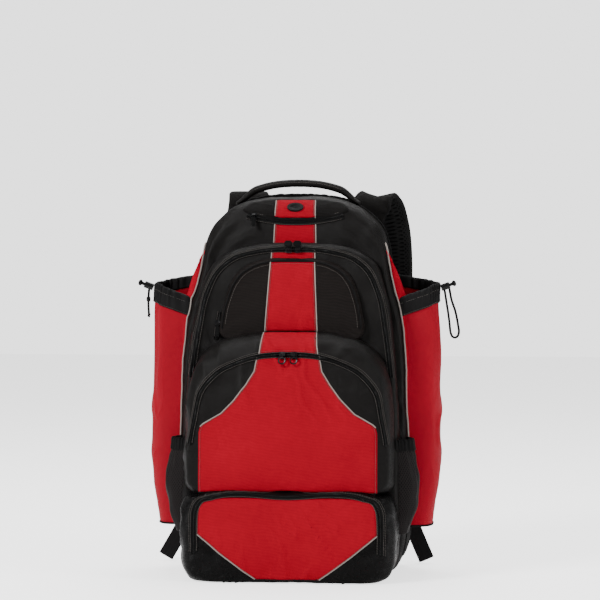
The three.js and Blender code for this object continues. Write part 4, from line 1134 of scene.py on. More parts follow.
def patch(
    name: str,
    skin: Skin,
    half_at: PairAt,
    low: float,
    high: float,
    lift: float,
    columns: int,
    pitch: float,
    steep: bool,
) -> Object:
    """Lays a sheet of cloth on a skin, between two side edges.

    Args:
        name: The name of the piece.
        skin: What it lies on.
        half_at: Gives the left and right edge by height.
        low: Its lowest height.
        high: Its highest.
        lift: How far its face stands off the skin.
        columns: Faces across.
        pitch: Height of one face.
        steep: Whether its top leans back, so that its rows crowd there.

    Returns:
        The sheet, with its thickness.
    """
    rows = max(4, round((high - low) / pitch))

    def place(column: int, row: int) -> Vector:
        """Places one point of the sheet."""
        rise = math.sin(row / rows * math.pi / 2) if steep else row / rows
        z = low + (high - low) * rise
        left, right = half_at(z)
        across = column / columns
        rim = min(across, 1 - across, row / rows * 3, (1 - row / rows) * 3)
        tuck = 0.3 + 0.7 * min(1.0, rim * columns / 1.5)
        stand = lift * tuck * (0.6 + 0.4 * row / rows if steep else 1)
        return skin.front(left + (right - left) * across, z, stand)

    left, right = half_at((low + high) / 2)
    bm = mapped(columns, rows, place, (right - left, high - low))
    turn_faces(bm, (0, -1, 0))
    return new_piece(name, bm, PATCH_WALL)


def edge_line(skin: Skin, points: Iterable[tuple[float, float]], lift: float) -> list[Vector]:
    """Lays a line of front-view points on a skin."""
    return [skin.front(x, z, lift) for x, z in points]


class Trim:
    """Piping, binding and stitches, gathered while the bag is built and made as one piece each."""

    def __init__(self) -> None:
        """Starts with nothing."""
        self.piping: list[BMesh] = []
        self.thread: list[BMesh] = []
        self.binding: list[BMesh] = []

    def pipe(self, line: Sequence[Vector], radius: float = 0.00095) -> None:
        """Adds light piping along a line."""
        self.piping.append(tube(line, radius, sides=8))

    def bind(self, line: Sequence[Vector], radius: float = 0.0018) -> None:
        """Adds black binding along a line."""
        self.binding.append(tube(line, radius, sides=10))

    def sew(self, line: Sequence[Vector], lift: Vector | None = None) -> None:
        """Adds a row of stitches along a line."""
        self.thread.extend(stitches(line, lift or Vector((0, -0.0003, 0))))

    def build(self, finishes: Finishes) -> None:
        """Builds and dresses what was gathered.

        Args:
            finishes: The finishes.
        """
        for name, parts, finish in (
            ("grey_edge_piping", self.piping, finishes.piping),
            ("black_edge_binding", self.binding, finishes.binding),
            ("seam_stitches", self.thread, finishes.thread),
        ):
            dress(new_piece(name, joined(parts)), finish, Slot.BLACK)


GUSSET_CHANGE = 0.19
GUSSET_EDGE = 1.3
GUSSET_SWELL = 0.013
GUSSET_DEPTHS = [(0.03, 0.7), (0.0715, 1.0), (0.2555, 1.0), (0.4088, 0.9), (0.47, 0.5), (0.511, 0.05)]
GUSSET_SWELLS = [
    (0.03, 0.0), (0.19, 0.2), (0.3, 0.7), (0.42, 1.0), (0.465, 0.85), (0.495, 0.45), (0.511, 0.0),
]
STRIP_EDGE = [(0.56, 0.27), (0.645, 0.23), (0.83, 0.194), (0.925, 0.182), (1.0, 0.174)]


def strip_edges(z: float) -> tuple[float, float]:
    """Gives the left and right edge of the red centre strip at a height."""
    ups, halves = zip(*STRIP_EDGE)
    half = float(np.interp(z / BODY_HEIGHT, ups, halves)) * BODY_HALF
    return -half, half


FRONT_PANEL = [
    (0.004, 0.852), (0.3, 0.852), (0.38, 0.85), (0.424, 0.83), (0.498, 0.636), (0.576, 0.519),
    (0.678, 0.401), (0.763, 0.321), (0.86, 0.296),
]
BOTTOM_PANEL = [
    (0.05, 0.3), (0.12, 0.385), (0.31, 0.6), (0.55, 0.845), (0.72, 0.845), (0.82, 0.835), (0.88, 0.812),
    (0.92, 0.775), (0.945, 0.73), (0.955, 0.7),
]


def panel_edges(table: Sequence[tuple[float, float]], form: Pouch) -> PairAt:
    """Gives the edges of a panel by height, from shares of its pocket.

    Args:
        table: Rows of height and half width.
        form: The pocket.

    Returns:
        A function of the height.
    """
    ups, halves = zip(*table)

    def edges(z: float) -> tuple[float, float]:
        """Gives the left and right edge at a height."""
        half = float(np.interp((z - form.bottom) / form.height, ups, halves)) * form.half
        return -half, half

    return edges


@dataclass
class Sewn:
    """What every sewn part of the bag is built with.

    Args:
        finishes: The finishes.
        layers: The forms of the bag.
        skins: Their surfaces.
        trim: Collects the piping, binding and stitches.
    """

    finishes: Finishes
    layers: Layers
    skins: dict[str, Skin]
    trim: Trim


@dataclass
class RedPanels(Sewn):
    """The red centre strip, the two front panels and the side gussets."""

    lift: float = 0.0009
    pitch: float = 0.003
    steep_lift: float = 0.0015
    steep_pitch: float = 0.0012
    pipe_lift: float = 0.0006
    stitch_lift: float = 0.0011
    stitch_inset: float = 0.0028
    gusset_depth: float = 0.058
    gusset_columns: int = 20
    gusset_pitch: float = 0.004

    def build(self) -> None:
        """Builds the panels with their piping."""
        strips = [
            ("top_strip", "top", TOP_BASE + 0.001, TOP_BASE + TOP_HEIGHT - 0.003),
            ("upper_strip", "main", SECOND_HEIGHT - 0.012, TOP_ZIP_BASE),
            ("second_strip", "second", ORGANIZER_BOTTOM + ORGANIZER_HEIGHT - 0.008, 0.5095),
            ("organizer_strip", "organizer", LEDGE + 0.0012, 0.4915),
            ("ledge_strip", "front", LEDGE - 0.032, LEDGE - 0.001),
        ]
        for node, layer, low, high in strips:
            self.lay(node, layer, strip_edges, low, high, steep=node in ("top_strip", "ledge_strip"))
        panels = [
            ("front_panel", "front", self.layers.front, FRONT_PANEL, (0.4, FAR)),
            ("bottom_panel", "bottom", self.layers.bottom, BOTTOM_PANEL, (0.0, 0.56)),
        ]
        for node, layer, form, table, piped in panels:
            shares = (table[0][0], table[-1][0], *piped)
            low, high, first, last = (form.bottom + up * form.height for up in shares)
            self.lay(node, layer, panel_edges(table, form), low, high, 90, (first, last))
        for side, sign in SIDES.items():
            self.gusset(side, sign)

    def lay(
        self,
        node: str,
        layer: str,
        edges: PairAt,
        low: float,
        high: float,
        columns: int = 28,
        piped: tuple[float, float] = (0.0, FAR),
        steep: bool = False,
    ) -> None:
        """Lays one red panel and pipes its sides.

        Args:
            node: The node that it replaces.
            layer: The layer that it lies on.
            edges: Its left and right edge by height.
            low: Its lowest height.
            high: Its highest.
            columns: Faces across.
            piped: The heights between which its sides are piped.
            steep: Whether its top leans back.
        """
        skin = self.skins[layer]
        lift, pitch = (self.steep_lift, self.steep_pitch) if steep else (self.lift, self.pitch)
        piece = patch(f"{node}_cloth", skin, edges, low, high, lift, columns, pitch, steep)
        dress(piece, self.finishes.red, Slot.RED, node)
        count = max(6, round((high - low) / 0.004))
        heights = [low + (high - low) * k / count for k in range(count + 1)]
        for index in (0, 1):
            line = [(edges(z)[index], z) for z in heights]
            edge = [spot for spot in line if piped[0] <= spot[1] <= piped[1]]
            self.trim.pipe(edge_line(skin, edge, self.pipe_lift))
            inner = [(x * (1 - self.stitch_inset / abs(x)), z) for x, z in line]
            self.trim.sew(edge_line(skin, inner, self.stitch_lift))

    def gusset(self, side: str, sign: int) -> None:
        """Builds the red side gusset of the main compartment and the piping on its front edge.

        Args:
            side: The side's name.
            sign: The side, -1 for left.
        """
        form = self.layers.main
        heights, depths = zip(*GUSSET_DEPTHS)
        swell_heights, swells = zip(*GUSSET_SWELLS)

        def build_part(name: str, low: float, high: float) -> Object:
            """Builds the gusset between two heights."""
            rows = round((high - low) / self.gusset_pitch)

            def place(column: int, row: int) -> Vector:
                """Places one point of the gusset."""
                z = low + (high - low) * row / rows
                deep = self.gusset_depth * float(np.interp(z, heights, depths))
                wall = form.back - form.front(z) - form.edge
                far = max(0.0, deep - form.edge)
                back = 1 - far / wall if deep > form.edge else 1 + math.acos(deep / form.edge) / math.pi
                share = column / self.gusset_columns
                reach = back + (GUSSET_EDGE - back) * share
                swell = GUSSET_SWELL * float(np.interp(z, swell_heights, swells))
                swell *= math.sin(math.pi * share) ** 1.1
                return form.surface(form.column_at(z, sign), reach, self.lift + swell)

            bm = mapped(self.gusset_columns, rows, place, (self.gusset_depth, high - low))
            turn_faces(bm, (sign, 0, 0))
            return new_piece(name, bm, PATCH_WALL)

        upper = build_part(f"side_gusset_{side}", GUSSET_CHANGE, heights[-1])
        dress(upper, self.finishes.red, Slot.RED, f"side_panel_{side}")
        dress(build_part(f"side_base_{side}", heights[0], GUSSET_CHANGE), self.finishes.twill, Slot.BLACK)
        walk = form.walk(form.column_at(GUSSET_CHANGE, sign), form.column_at(0.522, sign), 90)
        self.trim.pipe([form.surface(column, GUSSET_EDGE + 0.07, 0.0022) for column in walk], 0.0014)


@dataclass
class Zips(Sewn):
    """Zip tapes with folded edges, raised coils and rows of stitches."""

    tape_wall: float = 0.0005
    tape_columns: int = 16
    tape_pitch: float = 0.003
    tape_lift: float = 0.0011
    fold_lift: float = 0.0013
    coil_lift: float = 0.0016
    coil_radius: float = 0.0011
    coil_step: float = 0.0007
    coil_turn: float = 0.0021
    stitch_share: float = 0.86

    def sew_in(
        self, node: str, spine: Callable[[float, float, float], Vector], count: int, half: float
    ) -> None:
        """Builds a zip's folded tape and its coil.

        Args:
            node: The node that it replaces.
            spine: Gives a point from the share along the zip, the distance across and the lift.
            count: Points along the coil.
            half: Half the width of the tape.
        """
        middle = [spine(k / (count - 1), 0.0, self.coil_lift) for k in range(count)]
        length = line_length(middle)
        columns, rows = self.tape_columns, max(12, round(length / self.tape_pitch))

        def place(column: int, row: int) -> Vector:
            """Places one point of the tape."""
            across = 2 * column / columns - 1
            fold = math.exp(-(((abs(across) - 0.62) / 0.26) ** 2))
            return spine(row / rows, across * half, self.tape_lift + self.fold_lift * fold)

        bm = mapped(columns, rows, place, (2 * half, length))
        turn_faces(bm, (0, -1, 0))
        dress(new_piece(f"{node}_tape", bm, self.tape_wall), self.finishes.tape, Slot.ZIP, node)
        dress(new_piece(f"{node}_coil", self.coil(middle)), self.finishes.plastic, Slot.ZIP)

    def coil(self, line: Sequence[Vector]) -> BMesh:
        """Builds the coil of a zip: a tube whose thickness swells at every turn."""
        points = np.array([list(p) for p in line], float)
        along = distances(points)
        steps = np.linspace(0, along[-1], int(along[-1] / self.coil_step))
        fine = np.stack([np.interp(steps, along, points[:, k]) for k in range(3)], axis=1)
        bm = tube(fine, self.coil_radius, sides=6, cap=1)
        for vert in bm.verts:
            vert.co.y -= 0.00018 * math.sin((vert.co.x + vert.co.z) * 2 * math.pi / self.coil_turn)
        return bm

    def arched(self, node: str, form: Pouch, end_up: float, half: float = ZIP_WIDTH / 2) -> None:
        """Builds a zip along the front outline of a pocket.

        Args:
            node: The node that it replaces.
            form: The pocket.
            end_up: The share of the height where it ends.
            half: Half its width.
        """
        end = form.bottom + end_up * form.height
        start_column, end_column = (form.column_at(end, sign, face=True) for sign in (1, -1))
        count = 240

        def spine(share: float, distance: float, lift: float) -> Vector:
            """Gives a point of the tape."""
            return form.beside(start_column + (end_column - start_column) * share, distance, lift)

        self.sew_in(node, spine, count, half)
        edge = half * self.stitch_share
        for distance, lift in ((edge, 0.0018), (-edge, 0.0018), (half + 0.002, 0.0006)):
            walk = form.walk(start_column, end_column, count)
            self.trim.sew([form.beside(column, distance, lift) for column in walk])

    def laid(self, node: str, layer: str, line: PairAt, half: float) -> None:
        """Builds a zip along a line of the front view.

        Args:
            node: The node that it replaces.
            layer: The layer that it lies on.
            line: Gives the middle of the zip by share.
            half: Half its width.
        """
        skin = self.skins[layer]

        def spine(share: float, distance: float, lift: float) -> Vector:
            """Gives a point of the tape."""
            x, z = line(share)
            ahead, behind = line(min(1.0, share + 0.01)), line(max(0.0, share - 0.01))
            dx, dz = ahead[0] - behind[0], ahead[1] - behind[1]
            size = math.hypot(dx, dz)
            return skin.front(x - dz / size * distance, z + dx / size * distance, lift)

        self.sew_in(node, spine, 81, half)
        for distance in (half * self.stitch_share, -half * self.stitch_share):
            self.trim.sew([spine(k / 80, distance, 0.0017) for k in range(81)])

    def build(self) -> None:
        """Builds every zip."""
        layers = self.layers
        self.arched("main_zip", layers.second, 0.6)
        self.arched("front_zip", layers.front, 0.3)
        self.arched("bottom_zip", layers.bottom, 0.34, 0.0056)

        def smile(share: float) -> tuple[float, float]:
            """Gives the sagging line of the top zip."""
            x = (2 * share - 1) * TOP_ZIP_HALF
            return x, TOP_ZIP_BASE + ZIP_WIDTH / 2 + ZIP_SAG * (x / TOP_ZIP_HALF) ** 2

        def slanted(share: float) -> tuple[float, float]:
            """Gives the short slanting line of the side zip."""
            return -0.1131 - 0.0061 * share, 0.4139 - 0.0432 * share

        self.laid("top_zip", "main", smile, 0.0062)
        organizer = layers.organizer
        start, end = (organizer.column_at(LEDGE + 0.006, sign, face=True) for sign in (1, -1))
        walk = organizer.walk(start, end, 160)
        self.trim.bind([organizer.beside(column, 0.002, 0.0004) for column in walk], 0.0016)
        self.trim.sew([organizer.beside(column, -0.003, 0.0006) for column in walk])
        self.laid("side_zip", "second", slanted, 0.004)


@dataclass
class SidePocket:
    """An open-topped pocket sewn to the side of the bag."""

    bulge: list[tuple[float, float]]
    out: float
    bottom: float
    back: float
    depth: float
    squareness: float
    folds: float
    fold_depth: float
    slack: float
    fade: Callable[[float], float]
    rim: Callable[[float, float], float]
    front_limit: Callable[[float], float] = lambda z: -FAR
    inner: float = SIDE_INNER

    def point(
        self, sign: int, turn: float, share: float, grow: float = 0.0, drop: float | None = None
    ) -> Vector:
        """Gives a point of the pocket's wall.

        Args:
            sign: The side, -1 for left.
            turn: From the front seam at -90 degrees to the back seam at 90, in radians.
            share: The share of the height, below zero for the bottom.
            grow: How far off the wall the point stands.
            drop: A distance below the rim, which goes before the share.

        Returns:
            The point.
        """
        across = max(0.0, math.cos(turn)) ** self.squareness
        lengthwise = math.copysign(abs(math.sin(turn)) ** self.squareness, turn)
        rim = self.rim(across, (lengthwise + 1) / 2)
        if drop is not None:
            share = 1 - drop / (rim - self.bottom)
        under = min(0.0, share)
        share = min(1.15, max(0.0, share))
        ups, outs = zip(*self.bulge)
        near = [float(np.interp(share + step, ups, outs)) for step in (-0.1, -0.05, 0.0, 0.05, 0.1)]
        reach = (self.out - self.inner) * sum(near) / len(near)
        wave = self.fold_depth * math.cos(self.folds * turn) * self.fade(share) * across
        loose = Vector((turn * 1.3, share * 5.0, self.out * 40 + sign))
        wave += self.slack * noise.noise(loose) * across * min(1.0, 4 * share + 0.2)
        closing = math.cos(min(1.0, -under) * math.pi / 2)
        z = self.bottom + (rim - self.bottom) * share + min(1.0, -under) * -0.004
        front = max(self.back - self.depth, self.front_limit(z))
        deep = self.back - front
        wave += 0.75 * self.slack * creases(Vector((self.out, turn * 0.08 * sign, z)), 0.06) * across
        x = self.inner + (reach + wave + grow) * across * closing
        y = self.back - deep / 2 + (deep / 2 + grow) * lengthwise * closing
        return Vector((sign * x, y, z))


def sleeve_rim(out: float, rear: float) -> float:
    """Gives the height of the sleeve's mouth, higher at its outer and rear side."""
    rise = out * (1 - rear) + 1.6 * rear * (1 - out) + 1.15 * out * rear
    return SLEEVE_MOUTH + HEM_DEPTH * rise


SLEEVE = SidePocket(
    bulge=[(0, 0.8), (0.06, 0.95), (0.25, 0.985), (0.45, 1), (0.85, 0.97), (1, 0.94), (1.2, 0.93)],
    out=SLEEVE_OUT,
    bottom=SLEEVE_BOTTOM,
    back=MAIN_BACK - 0.005,
    depth=SLEEVE_DEPTH,
    squareness=0.5,
    folds=7,
    fold_depth=0.0022,
    slack=0.004,
    fade=lambda share: 0.35 + 0.65 * blend_between(0.2, 0.9, share),
    rim=sleeve_rim,
    front_limit=lambda z: MAIN_FRONT + MAIN_LEAN * lean_share(z) + 0.0144,
)
NET_POCKET = SidePocket(
    bulge=[(0, 0.62), (0.2, 0.88), (0.55, 1), (0.86, 0.8), (1, 0.7), (1.2, 0.68)],
    out=MESH_OUT,
    bottom=MESH_BOTTOM,
    back=MAIN_BACK - 0.005 - SLEEVE_DEPTH - 0.002,
    depth=MESH_DEPTH,
    squareness=0.62,
    folds=15,
    fold_depth=0.0022,
    slack=0.0035,
    fade=lambda share: 0.15 + 0.85 * blend_between(0.3, 1, share),
    rim=lambda out, rear: MESH_BOTTOM + MESH_HEIGHT,
)


@dataclass
class SideGoods(Sewn):
    """The open sleeves and the gathered net pockets, with their hems."""

    def wall(self, name: str, form: SidePocket, sign: int, columns: int, rows: int) -> Object:
        """Builds the cloth wall and bottom of a side pocket.

        Args:
            name: The name of the piece.
            form: The pocket.
            sign: The side.
            columns: Faces around.
            rows: Faces up the wall.

        Returns:
            The wall, with its thickness.
        """
        under = 6

        def place(column: int, row: int) -> Vector:
            """Places one point of the wall."""
            turn = (column / columns - 0.5) * math.pi
            share = (row - under) / rows if row >= under else (row - under) / under
            return form.point(sign, turn, share)

        height = form.rim(1, 0.5) - form.bottom
        bm = mapped(columns, rows + under, place, (form.depth + 2 * (form.out - form.inner), height))
        turn_faces(bm, (sign, 0, 0))
        return new_piece(name, bm, SIDE_WALL)

    def hem(
        self, name: str, form: SidePocket, sign: int, depth: float, ruffles: int, ruffle: float
    ) -> Object:
        """Builds a hem that folds over the rim of a side pocket.

        Args:
            name: The name of the piece.
            form: The pocket.
            sign: The side.
            depth: How far it reaches down.
            ruffles: Gathers along the rim.
            ruffle: Their depth.

        Returns:
            The hem.
        """
        section = [(depth, 0.0012), (depth * 0.97, 0.0022), (depth * 0.75, 0.002), (depth * 0.5, 0.0021)]
        section += [(depth * 0.25, 0.0023), (0.0015, 0.0022), (-0.001, 0.0012), (-0.0018, -0.0005)]
        section += [(-0.001, -0.0022), (0.0015, -0.0032), (depth * 0.3, -0.0026), (depth * 0.6, -0.0026)]
        columns, rows = 170, len(section) - 1

        def place(column: int, row: int) -> Vector:
            """Places one point of the hem."""
            turn = (column / columns - 0.5) * math.pi
            drop, grow = section[row]
            near_rim = 1 - min(1.0, max(0.0, drop) / depth)
            waver = noise.noise(Vector((turn * ruffles * 0.45, sign * 3.0, form.out * 30)))
            wave = ruffle * (math.sin(ruffles * turn * 2 + 2.5 * waver) + 0.6 * waver)
            wave *= 0.25 + 0.75 * near_rim
            spot = form.point(sign, turn, 1.0, grow + wave, drop)
            spot.z += ruffle * 0.9 * waver * near_rim
            return spot

        bm = mapped(columns, rows, place, (form.depth + 2 * (form.out - form.inner), depth * 1.6))
        turn_faces(bm)
        piece = new_piece(name, bm, HEM_WALL, 0.0)
        soft = piece.modifiers.new("soft", "SUBSURF")
        soft.levels = 1
        soft.render_levels = 1
        return piece

    def build(self) -> None:
        """Builds both sides."""
        for side, sign in SIDES.items():
            sleeve = self.wall(f"side_sleeve_{side}", SLEEVE, sign, 120, 130)
            dress(sleeve, self.finishes.crimson, Slot.SLEEVE, f"sleeve_{side}")
            hem = self.hem(f"sleeve_mouth_hem_{side}", SLEEVE, sign, HEM_DEPTH, 17, 0.0009)
            dress(hem, self.finishes.webbing, Slot.WEB, f"sleeve_hem_{side}")
            net = self.wall(f"net_pocket_{side}", NET_POCKET, sign, 100, 60)
            dress(net, self.finishes.net, Slot.MESH, f"mesh_pocket_{side}")
            band = self.hem(f"gathered_band_{side}", NET_POCKET, sign, ELASTIC_DEPTH, 22, 0.0007)
            dress(band, self.finishes.binding, Slot.WEB, f"elastic_band_{side}")
            edge = [SLEEVE.point(sign, (k / 90 - 0.5) * math.pi, 0.0, 0.0004) for k in range(91)]
            self.trim.bind(edge, 0.0016)
            for drop in (HEM_DEPTH - 0.0022, 0.008):
                line = [SLEEVE.point(sign, (k / 90 - 0.5) * 3.0, 1.0, 0.0028, drop) for k in range(91)]
                self.trim.sew(line, Vector((sign * 0.0002, 0, 0)))


@dataclass
class Sweep:
    """A flat or round band that follows a line, with a section that may change."""

    stations: np.ndarray
    axis: Vector
    sides: int = 20
    squareness: float = 0.5
    samples: int = 90

    def build(self, wave: Callable[[float, float], float] | None = None) -> BMesh:
        """Builds the band.

        Args:
            wave: Gives an extra rise of the skin from the share along and the turn around.

        Returns:
            The closed band, with a UV map in metres around and along it.
        """
        line = through(self.stations, self.samples)
        centres = [Vector(row[:3]) for row in line]
        length = line_length(centres)
        last = len(centres) - 1
        rings = [(0, 0.0), (0, 0.45), (0, 0.82)] + [(i, 1.0) for i in range(len(centres))]
        rings += [(last, 0.82), (last, 0.45), (last, 0.0)]

        def place(column: int, row: int) -> Vector:
            """Places one point of the band."""
            index, size = rings[row]
            tangent = (centres[min(index + 1, last)] - centres[max(index - 1, 0)]).normalized()
            across = (self.axis - tangent * self.axis.dot(tangent)).normalized()
            up = tangent.cross(across)
            turn = 2 * math.pi * column / self.sides
            u = math.copysign(abs(math.cos(turn)) ** self.squareness, math.cos(turn))
            v = math.copysign(abs(math.sin(turn)) ** self.squareness, math.sin(turn))
            width, thickness = line[index][3] / 2, line[index][4] / 2
            extra = wave(index / last, turn) if wave else 0.0
            push = -1 if row < 3 else 1 if row > last + 3 else 0
            cap = push * min(width, thickness) * math.sqrt(max(0.0, 1 - size * size)) * 0.8
            middle = centres[index] + tangent * cap
            return middle + across * u * width * size + up * v * (thickness + extra) * size

        bm = mapped(self.sides, len(rings) - 1, place, (2 * float(line[:, 3].mean()), length))
        turn_faces(bm)
        return bm


STRAP_ROWS = {
    "right": [
        (0.6, 1.1, 0.945, 0.9), (0.64, 1.3, 0.975, 0.95), (0.7, 2.1, 0.992, 1), (0.745, 3.1, 0.975, 1),
        (0.8, 3.6, 0.92, 1), (0.83, 3.5, 0.83, 1), (0.82, 3.1, 0.72, 1), (0.78, 2.6, 0.6, 0.9),
        (0.75, 2.3, 0.5, 0.72), (0.76, 2.1, 0.4, 0.55), (0.78, 2, 0.34, 0.5),
    ],
    "left": [
        (0.49, 1.1, 0.955, 0.9), (0.485, 1.3, 0.988, 0.95), (0.48, 2.1, 1.006, 1), (0.49, 3.1, 0.985, 1),
        (0.53, 3.6, 0.92, 1), (0.6, 3.5, 0.83, 1), (0.66, 3.1, 0.72, 1), (0.7, 2.6, 0.6, 0.9),
        (0.73, 2.3, 0.5, 0.72), (0.76, 2.1, 0.4, 0.55), (0.78, 2, 0.34, 0.5),
    ],
}
FRAME_WALL = 0.0035
FRAME_HEIGHT = 0.024
TAIL_SPLAY = {"left": 0.1, "right": 0.0}
FRAME_DEPTH = 0.005


@dataclass
class CarryingGear(Sewn):
    """The grab handle, the shoulder straps, their webbing and the padded back."""

    def handle(self) -> None:
        """Builds the padded grab handle with its flattened, sewn feet."""
        form = self.layers.main
        loop = form.loop[: form.columns // 2 + 1]
        upper = loop[loop[:, 1] > BODY_HEIGHT / 2][::-1]

        def seam(x: float) -> float:
            """Gives the height of the bag's back outline at a distance from its middle."""
            return float(np.interp(abs(x), upper[:, 0], upper[:, 1]))

        crest = BODY_HEIGHT + HANDLE_RISE
        foot_height = seam(HANDLE_SPAN)
        stations = []
        for k in range(25):
            share = math.sin((k / 24 - 0.5) * math.pi)
            x = share * HANDLE_SPAN
            foot = blend_between(0.7, 1.0, abs(share))
            arch = crest - (crest - foot_height - HANDLE_THICKNESS) * abs(share) ** 2.4
            thick = HANDLE_THICKNESS * (1 - 0.35 * foot)
            z = arch + (seam(x) + thick / 2 + 0.0012 - arch) * foot
            stations.append((x, HANDLE_Y, z, HANDLE_THICKNESS * (1.1 + 0.75 * foot), thick))

        def wrinkle(share: float, turn: float) -> float:
            """Gives the small creases of the wrapped handle."""
            return 0.0003 * noise.noise(Vector((share * 60, math.cos(turn), math.sin(turn))))

        bm = Sweep(np.array(stations), Vector((0, 1, 0)), 24, 0.9, 120).build(wrinkle)
        grab = new_piece("grab_handle", bm)
        dress(grab, self.finishes.satin, Slot.WEB, "haul_handle")
        line = through([s[:3] for s in stations], 140)
        for offset in (-0.0063, 0.0063):
            run = [Vector((p[0], p[1] + offset, p[2] + 0.0012)) for p in line]
            self.trim.sew(run, Vector((0, 0, 0.0002)))

    def strap(self, side: str, sign: int) -> None:
        """Builds one padded shoulder strap, bound on both edges.

        Args:
            side: The side's name.
            sign: The side, -1 for left.
        """
        rows = STRAP_ROWS[side]
        stations = np.array(
            [
                (
                    sign * out * BODY_HALF, BACK_PLANE + behind * STRAP_THICKNESS, up * BODY_HEIGHT,
                    wide * STRAP_WIDTH, STRAP_THICKNESS,
                )
                for out, behind, up, wide in rows
            ]
        )

        def quilt(share: float, turn: float) -> float:
            """Gives the low ribs of the padding on the inner side."""
            inner = max(0.0, math.sin(turn))
            return inner * 0.0007 * math.sin(share * 2 * math.pi * 46)

        bm = Sweep(stations, Vector((1, 0, 0)), 36, 0.32, 190).build(quilt)
        layer = bm.loops.layers.uv["cloth"]
        around = 2 * float(through(stations, 190)[:, 3].mean())
        for face in bm.faces:
            turn = sum(loop[layer].uv.x for loop in face.loops) / len(face.loops) / around
            face.material_index = 1 if 0.03 < turn < 0.47 else 0
        piece = new_piece(f"padded_strap_{side}", bm)
        piece.data.materials.append(self.finishes.twill)
        piece.data.materials.append(self.finishes.spacer)
        dress(piece, self.finishes.twill, Slot.BLACK, f"shoulder_strap_{side}")
        line = through(stations, 190)
        for edge in (-1, 1):
            run = []
            for index, row in enumerate(line):
                ahead = Vector(line[min(index + 1, len(line) - 1)][:3])
                tangent = (ahead - Vector(line[max(index - 1, 0)][:3])).normalized()
                axis = Vector((1, 0, 0))
                across = (axis - tangent * axis.dot(tangent)).normalized()
                run.append(Vector(row[:3]) + across * edge * (row[3] / 2 - 0.0012))
            self.trim.bind(run, 0.0026)

    def webbing(self, side: str, sign: int) -> None:
        """Builds the webbing from the lower seam through the adjuster to its free tail.

        Args:
            side: The side's name.
            sign: The side, -1 for left.
        """
        out, behind, up, _ = STRAP_ROWS[side][-1]
        x, y = sign * out * BODY_HALF, BACK_PLANE + behind * STRAP_THICKNESS
        lock = up * BODY_HEIGHT + STRAP_THICKNESS / 2 - FRAME_HEIGHT / 2
        slot = FRAME_HEIGHT / 2 - 1.5 * FRAME_WALL
        low, high = lock - slot / 2 - FRAME_WALL / 2, lock + slot / 2 + FRAME_WALL / 2
        clear = FRAME_DEPTH / 2 + SEAT_GAP + WEBBING_THICKNESS
        seam_x = sign * BODY_HALF * 0.86
        turn_in, turn_drop = FRAME_WALL / 6, FRAME_WALL * 0.63
        inner, outer = y - clear, y + clear
        splay = TAIL_SPLAY[side]
        points = [
            (seam_x, BACK_PLANE + SEAT_GAP + WEBBING_THICKNESS, BODY_HEIGHT * 0.057),
            (sign * BODY_HALF * 0.84, BACK_PLANE + 5 * WEBBING_THICKNESS, BODY_HEIGHT * 0.118),
            (seam_x + (x - seam_x) * 0.8, inner - 2 * WEBBING_THICKNESS, lock - FRAME_HEIGHT),
            (x, inner, low),
            (x, inner + turn_in, high - turn_drop),
            (x, y, high + turn_in),
            (x, outer - turn_in, high - turn_drop),
            (x, outer, low),
            (sign * BODY_HALF * (0.92 + 0.3 * splay), outer + WEBBING_THICKNESS, lock * 0.57),
            (sign * BODY_HALF * (1.03 + 0.65 * splay), outer - WEBBING_THICKNESS, lock * 0.285),
            (sign * BODY_HALF * (1.15 + splay), outer - 4 * WEBBING_THICKNESS, lock * 0.03 + 0.01 * splay),
        ]
        stations = np.array([(*point, WEBBING_WIDTH, WEBBING_THICKNESS) for point in points])
        bm = Sweep(stations, Vector((1, 0, 0)), 16, 0.2, 170).build()
        dress(new_piece(f"strap_webbing_{side}", bm), self.finishes.webbing, Slot.WEB, f"webbing_{side}")

    def back(self) -> None:
        """Builds the padded back panel and its two raised pads."""
        form = self.layers.main
        depth = BACK_PLANE - MAIN_BACK - SEAT_GAP
        steps = [(0.0, 0.0), (0.4, 0.0), (0.75, 0.15), (0.93, 0.5), (1.0, 1.0)]
        rings = [(MAIN_BACK + SEAT_GAP + depth * share, inset * 0.0056) for share, inset in steps]
        face_steps = 22

        def place(column: int, row: int) -> Vector:
            """Places one point of the back panel."""
            (bx, bz, _, _), (nx, nz) = form.spot(column)
            if row < len(rings):
                y, inset = rings[row]
                return Vector((bx - nx * (0.001 + inset), y, max(FLOOR_GAP, bz - nz * (0.001 + inset))))
            share = 1 - (row - len(rings) + 1) / face_steps
            x = (bx - nx * 0.0066) * share
            z = form.centre + (bz - nz * 0.0066 - form.centre) * share
            slack = 0.0009 * noise.noise(Vector((x * 18, 3.1, z * 18))) * min(1.0, (1 - share) * 6)
            return Vector((x, BACK_PLANE + slack, max(FLOOR_GAP, z)))

        bm = mapped(form.columns, len(rings) + face_steps - 1, place, (form.length, 0.3))
        turn_faces(bm, (0, 1, 0))
        piece = new_piece("padded_back_panel", bm, SHELL_WALL)
        dress(piece, self.finishes.twill, Slot.BLACK, "back_panel")
        loop = [form.surface(c, 0.0, 0.0006) for c in form.walk(0, form.columns, 300)]
        self.trim.bind(loop, 0.0022)
        crest = [form.surface(c, 0.0, 0.0) for c in form.walk(form.columns * 0.45, form.columns * 0.55, 120)]
        ruffled = [p + Vector((0, -0.004, 0.0022 + 0.0011 * noise.noise(p * 190.0))) for p in crest]
        self.trim.bind(ruffled, 0.0026)
        for side, sign in SIDES.items():
            self.pad(side, sign)

    def pad(self, side: str, sign: int) -> None:
        """Builds one raised back pad with sewn cross channels.

        Args:
            side: The side's name.
            sign: The side, -1 for left.
        """
        middle = Vector((sign * (PAD_HALF_WIDTH + PAD_RISE), BACK_PLANE + SEAT_GAP, 0.28))
        columns, rows = 36, 120

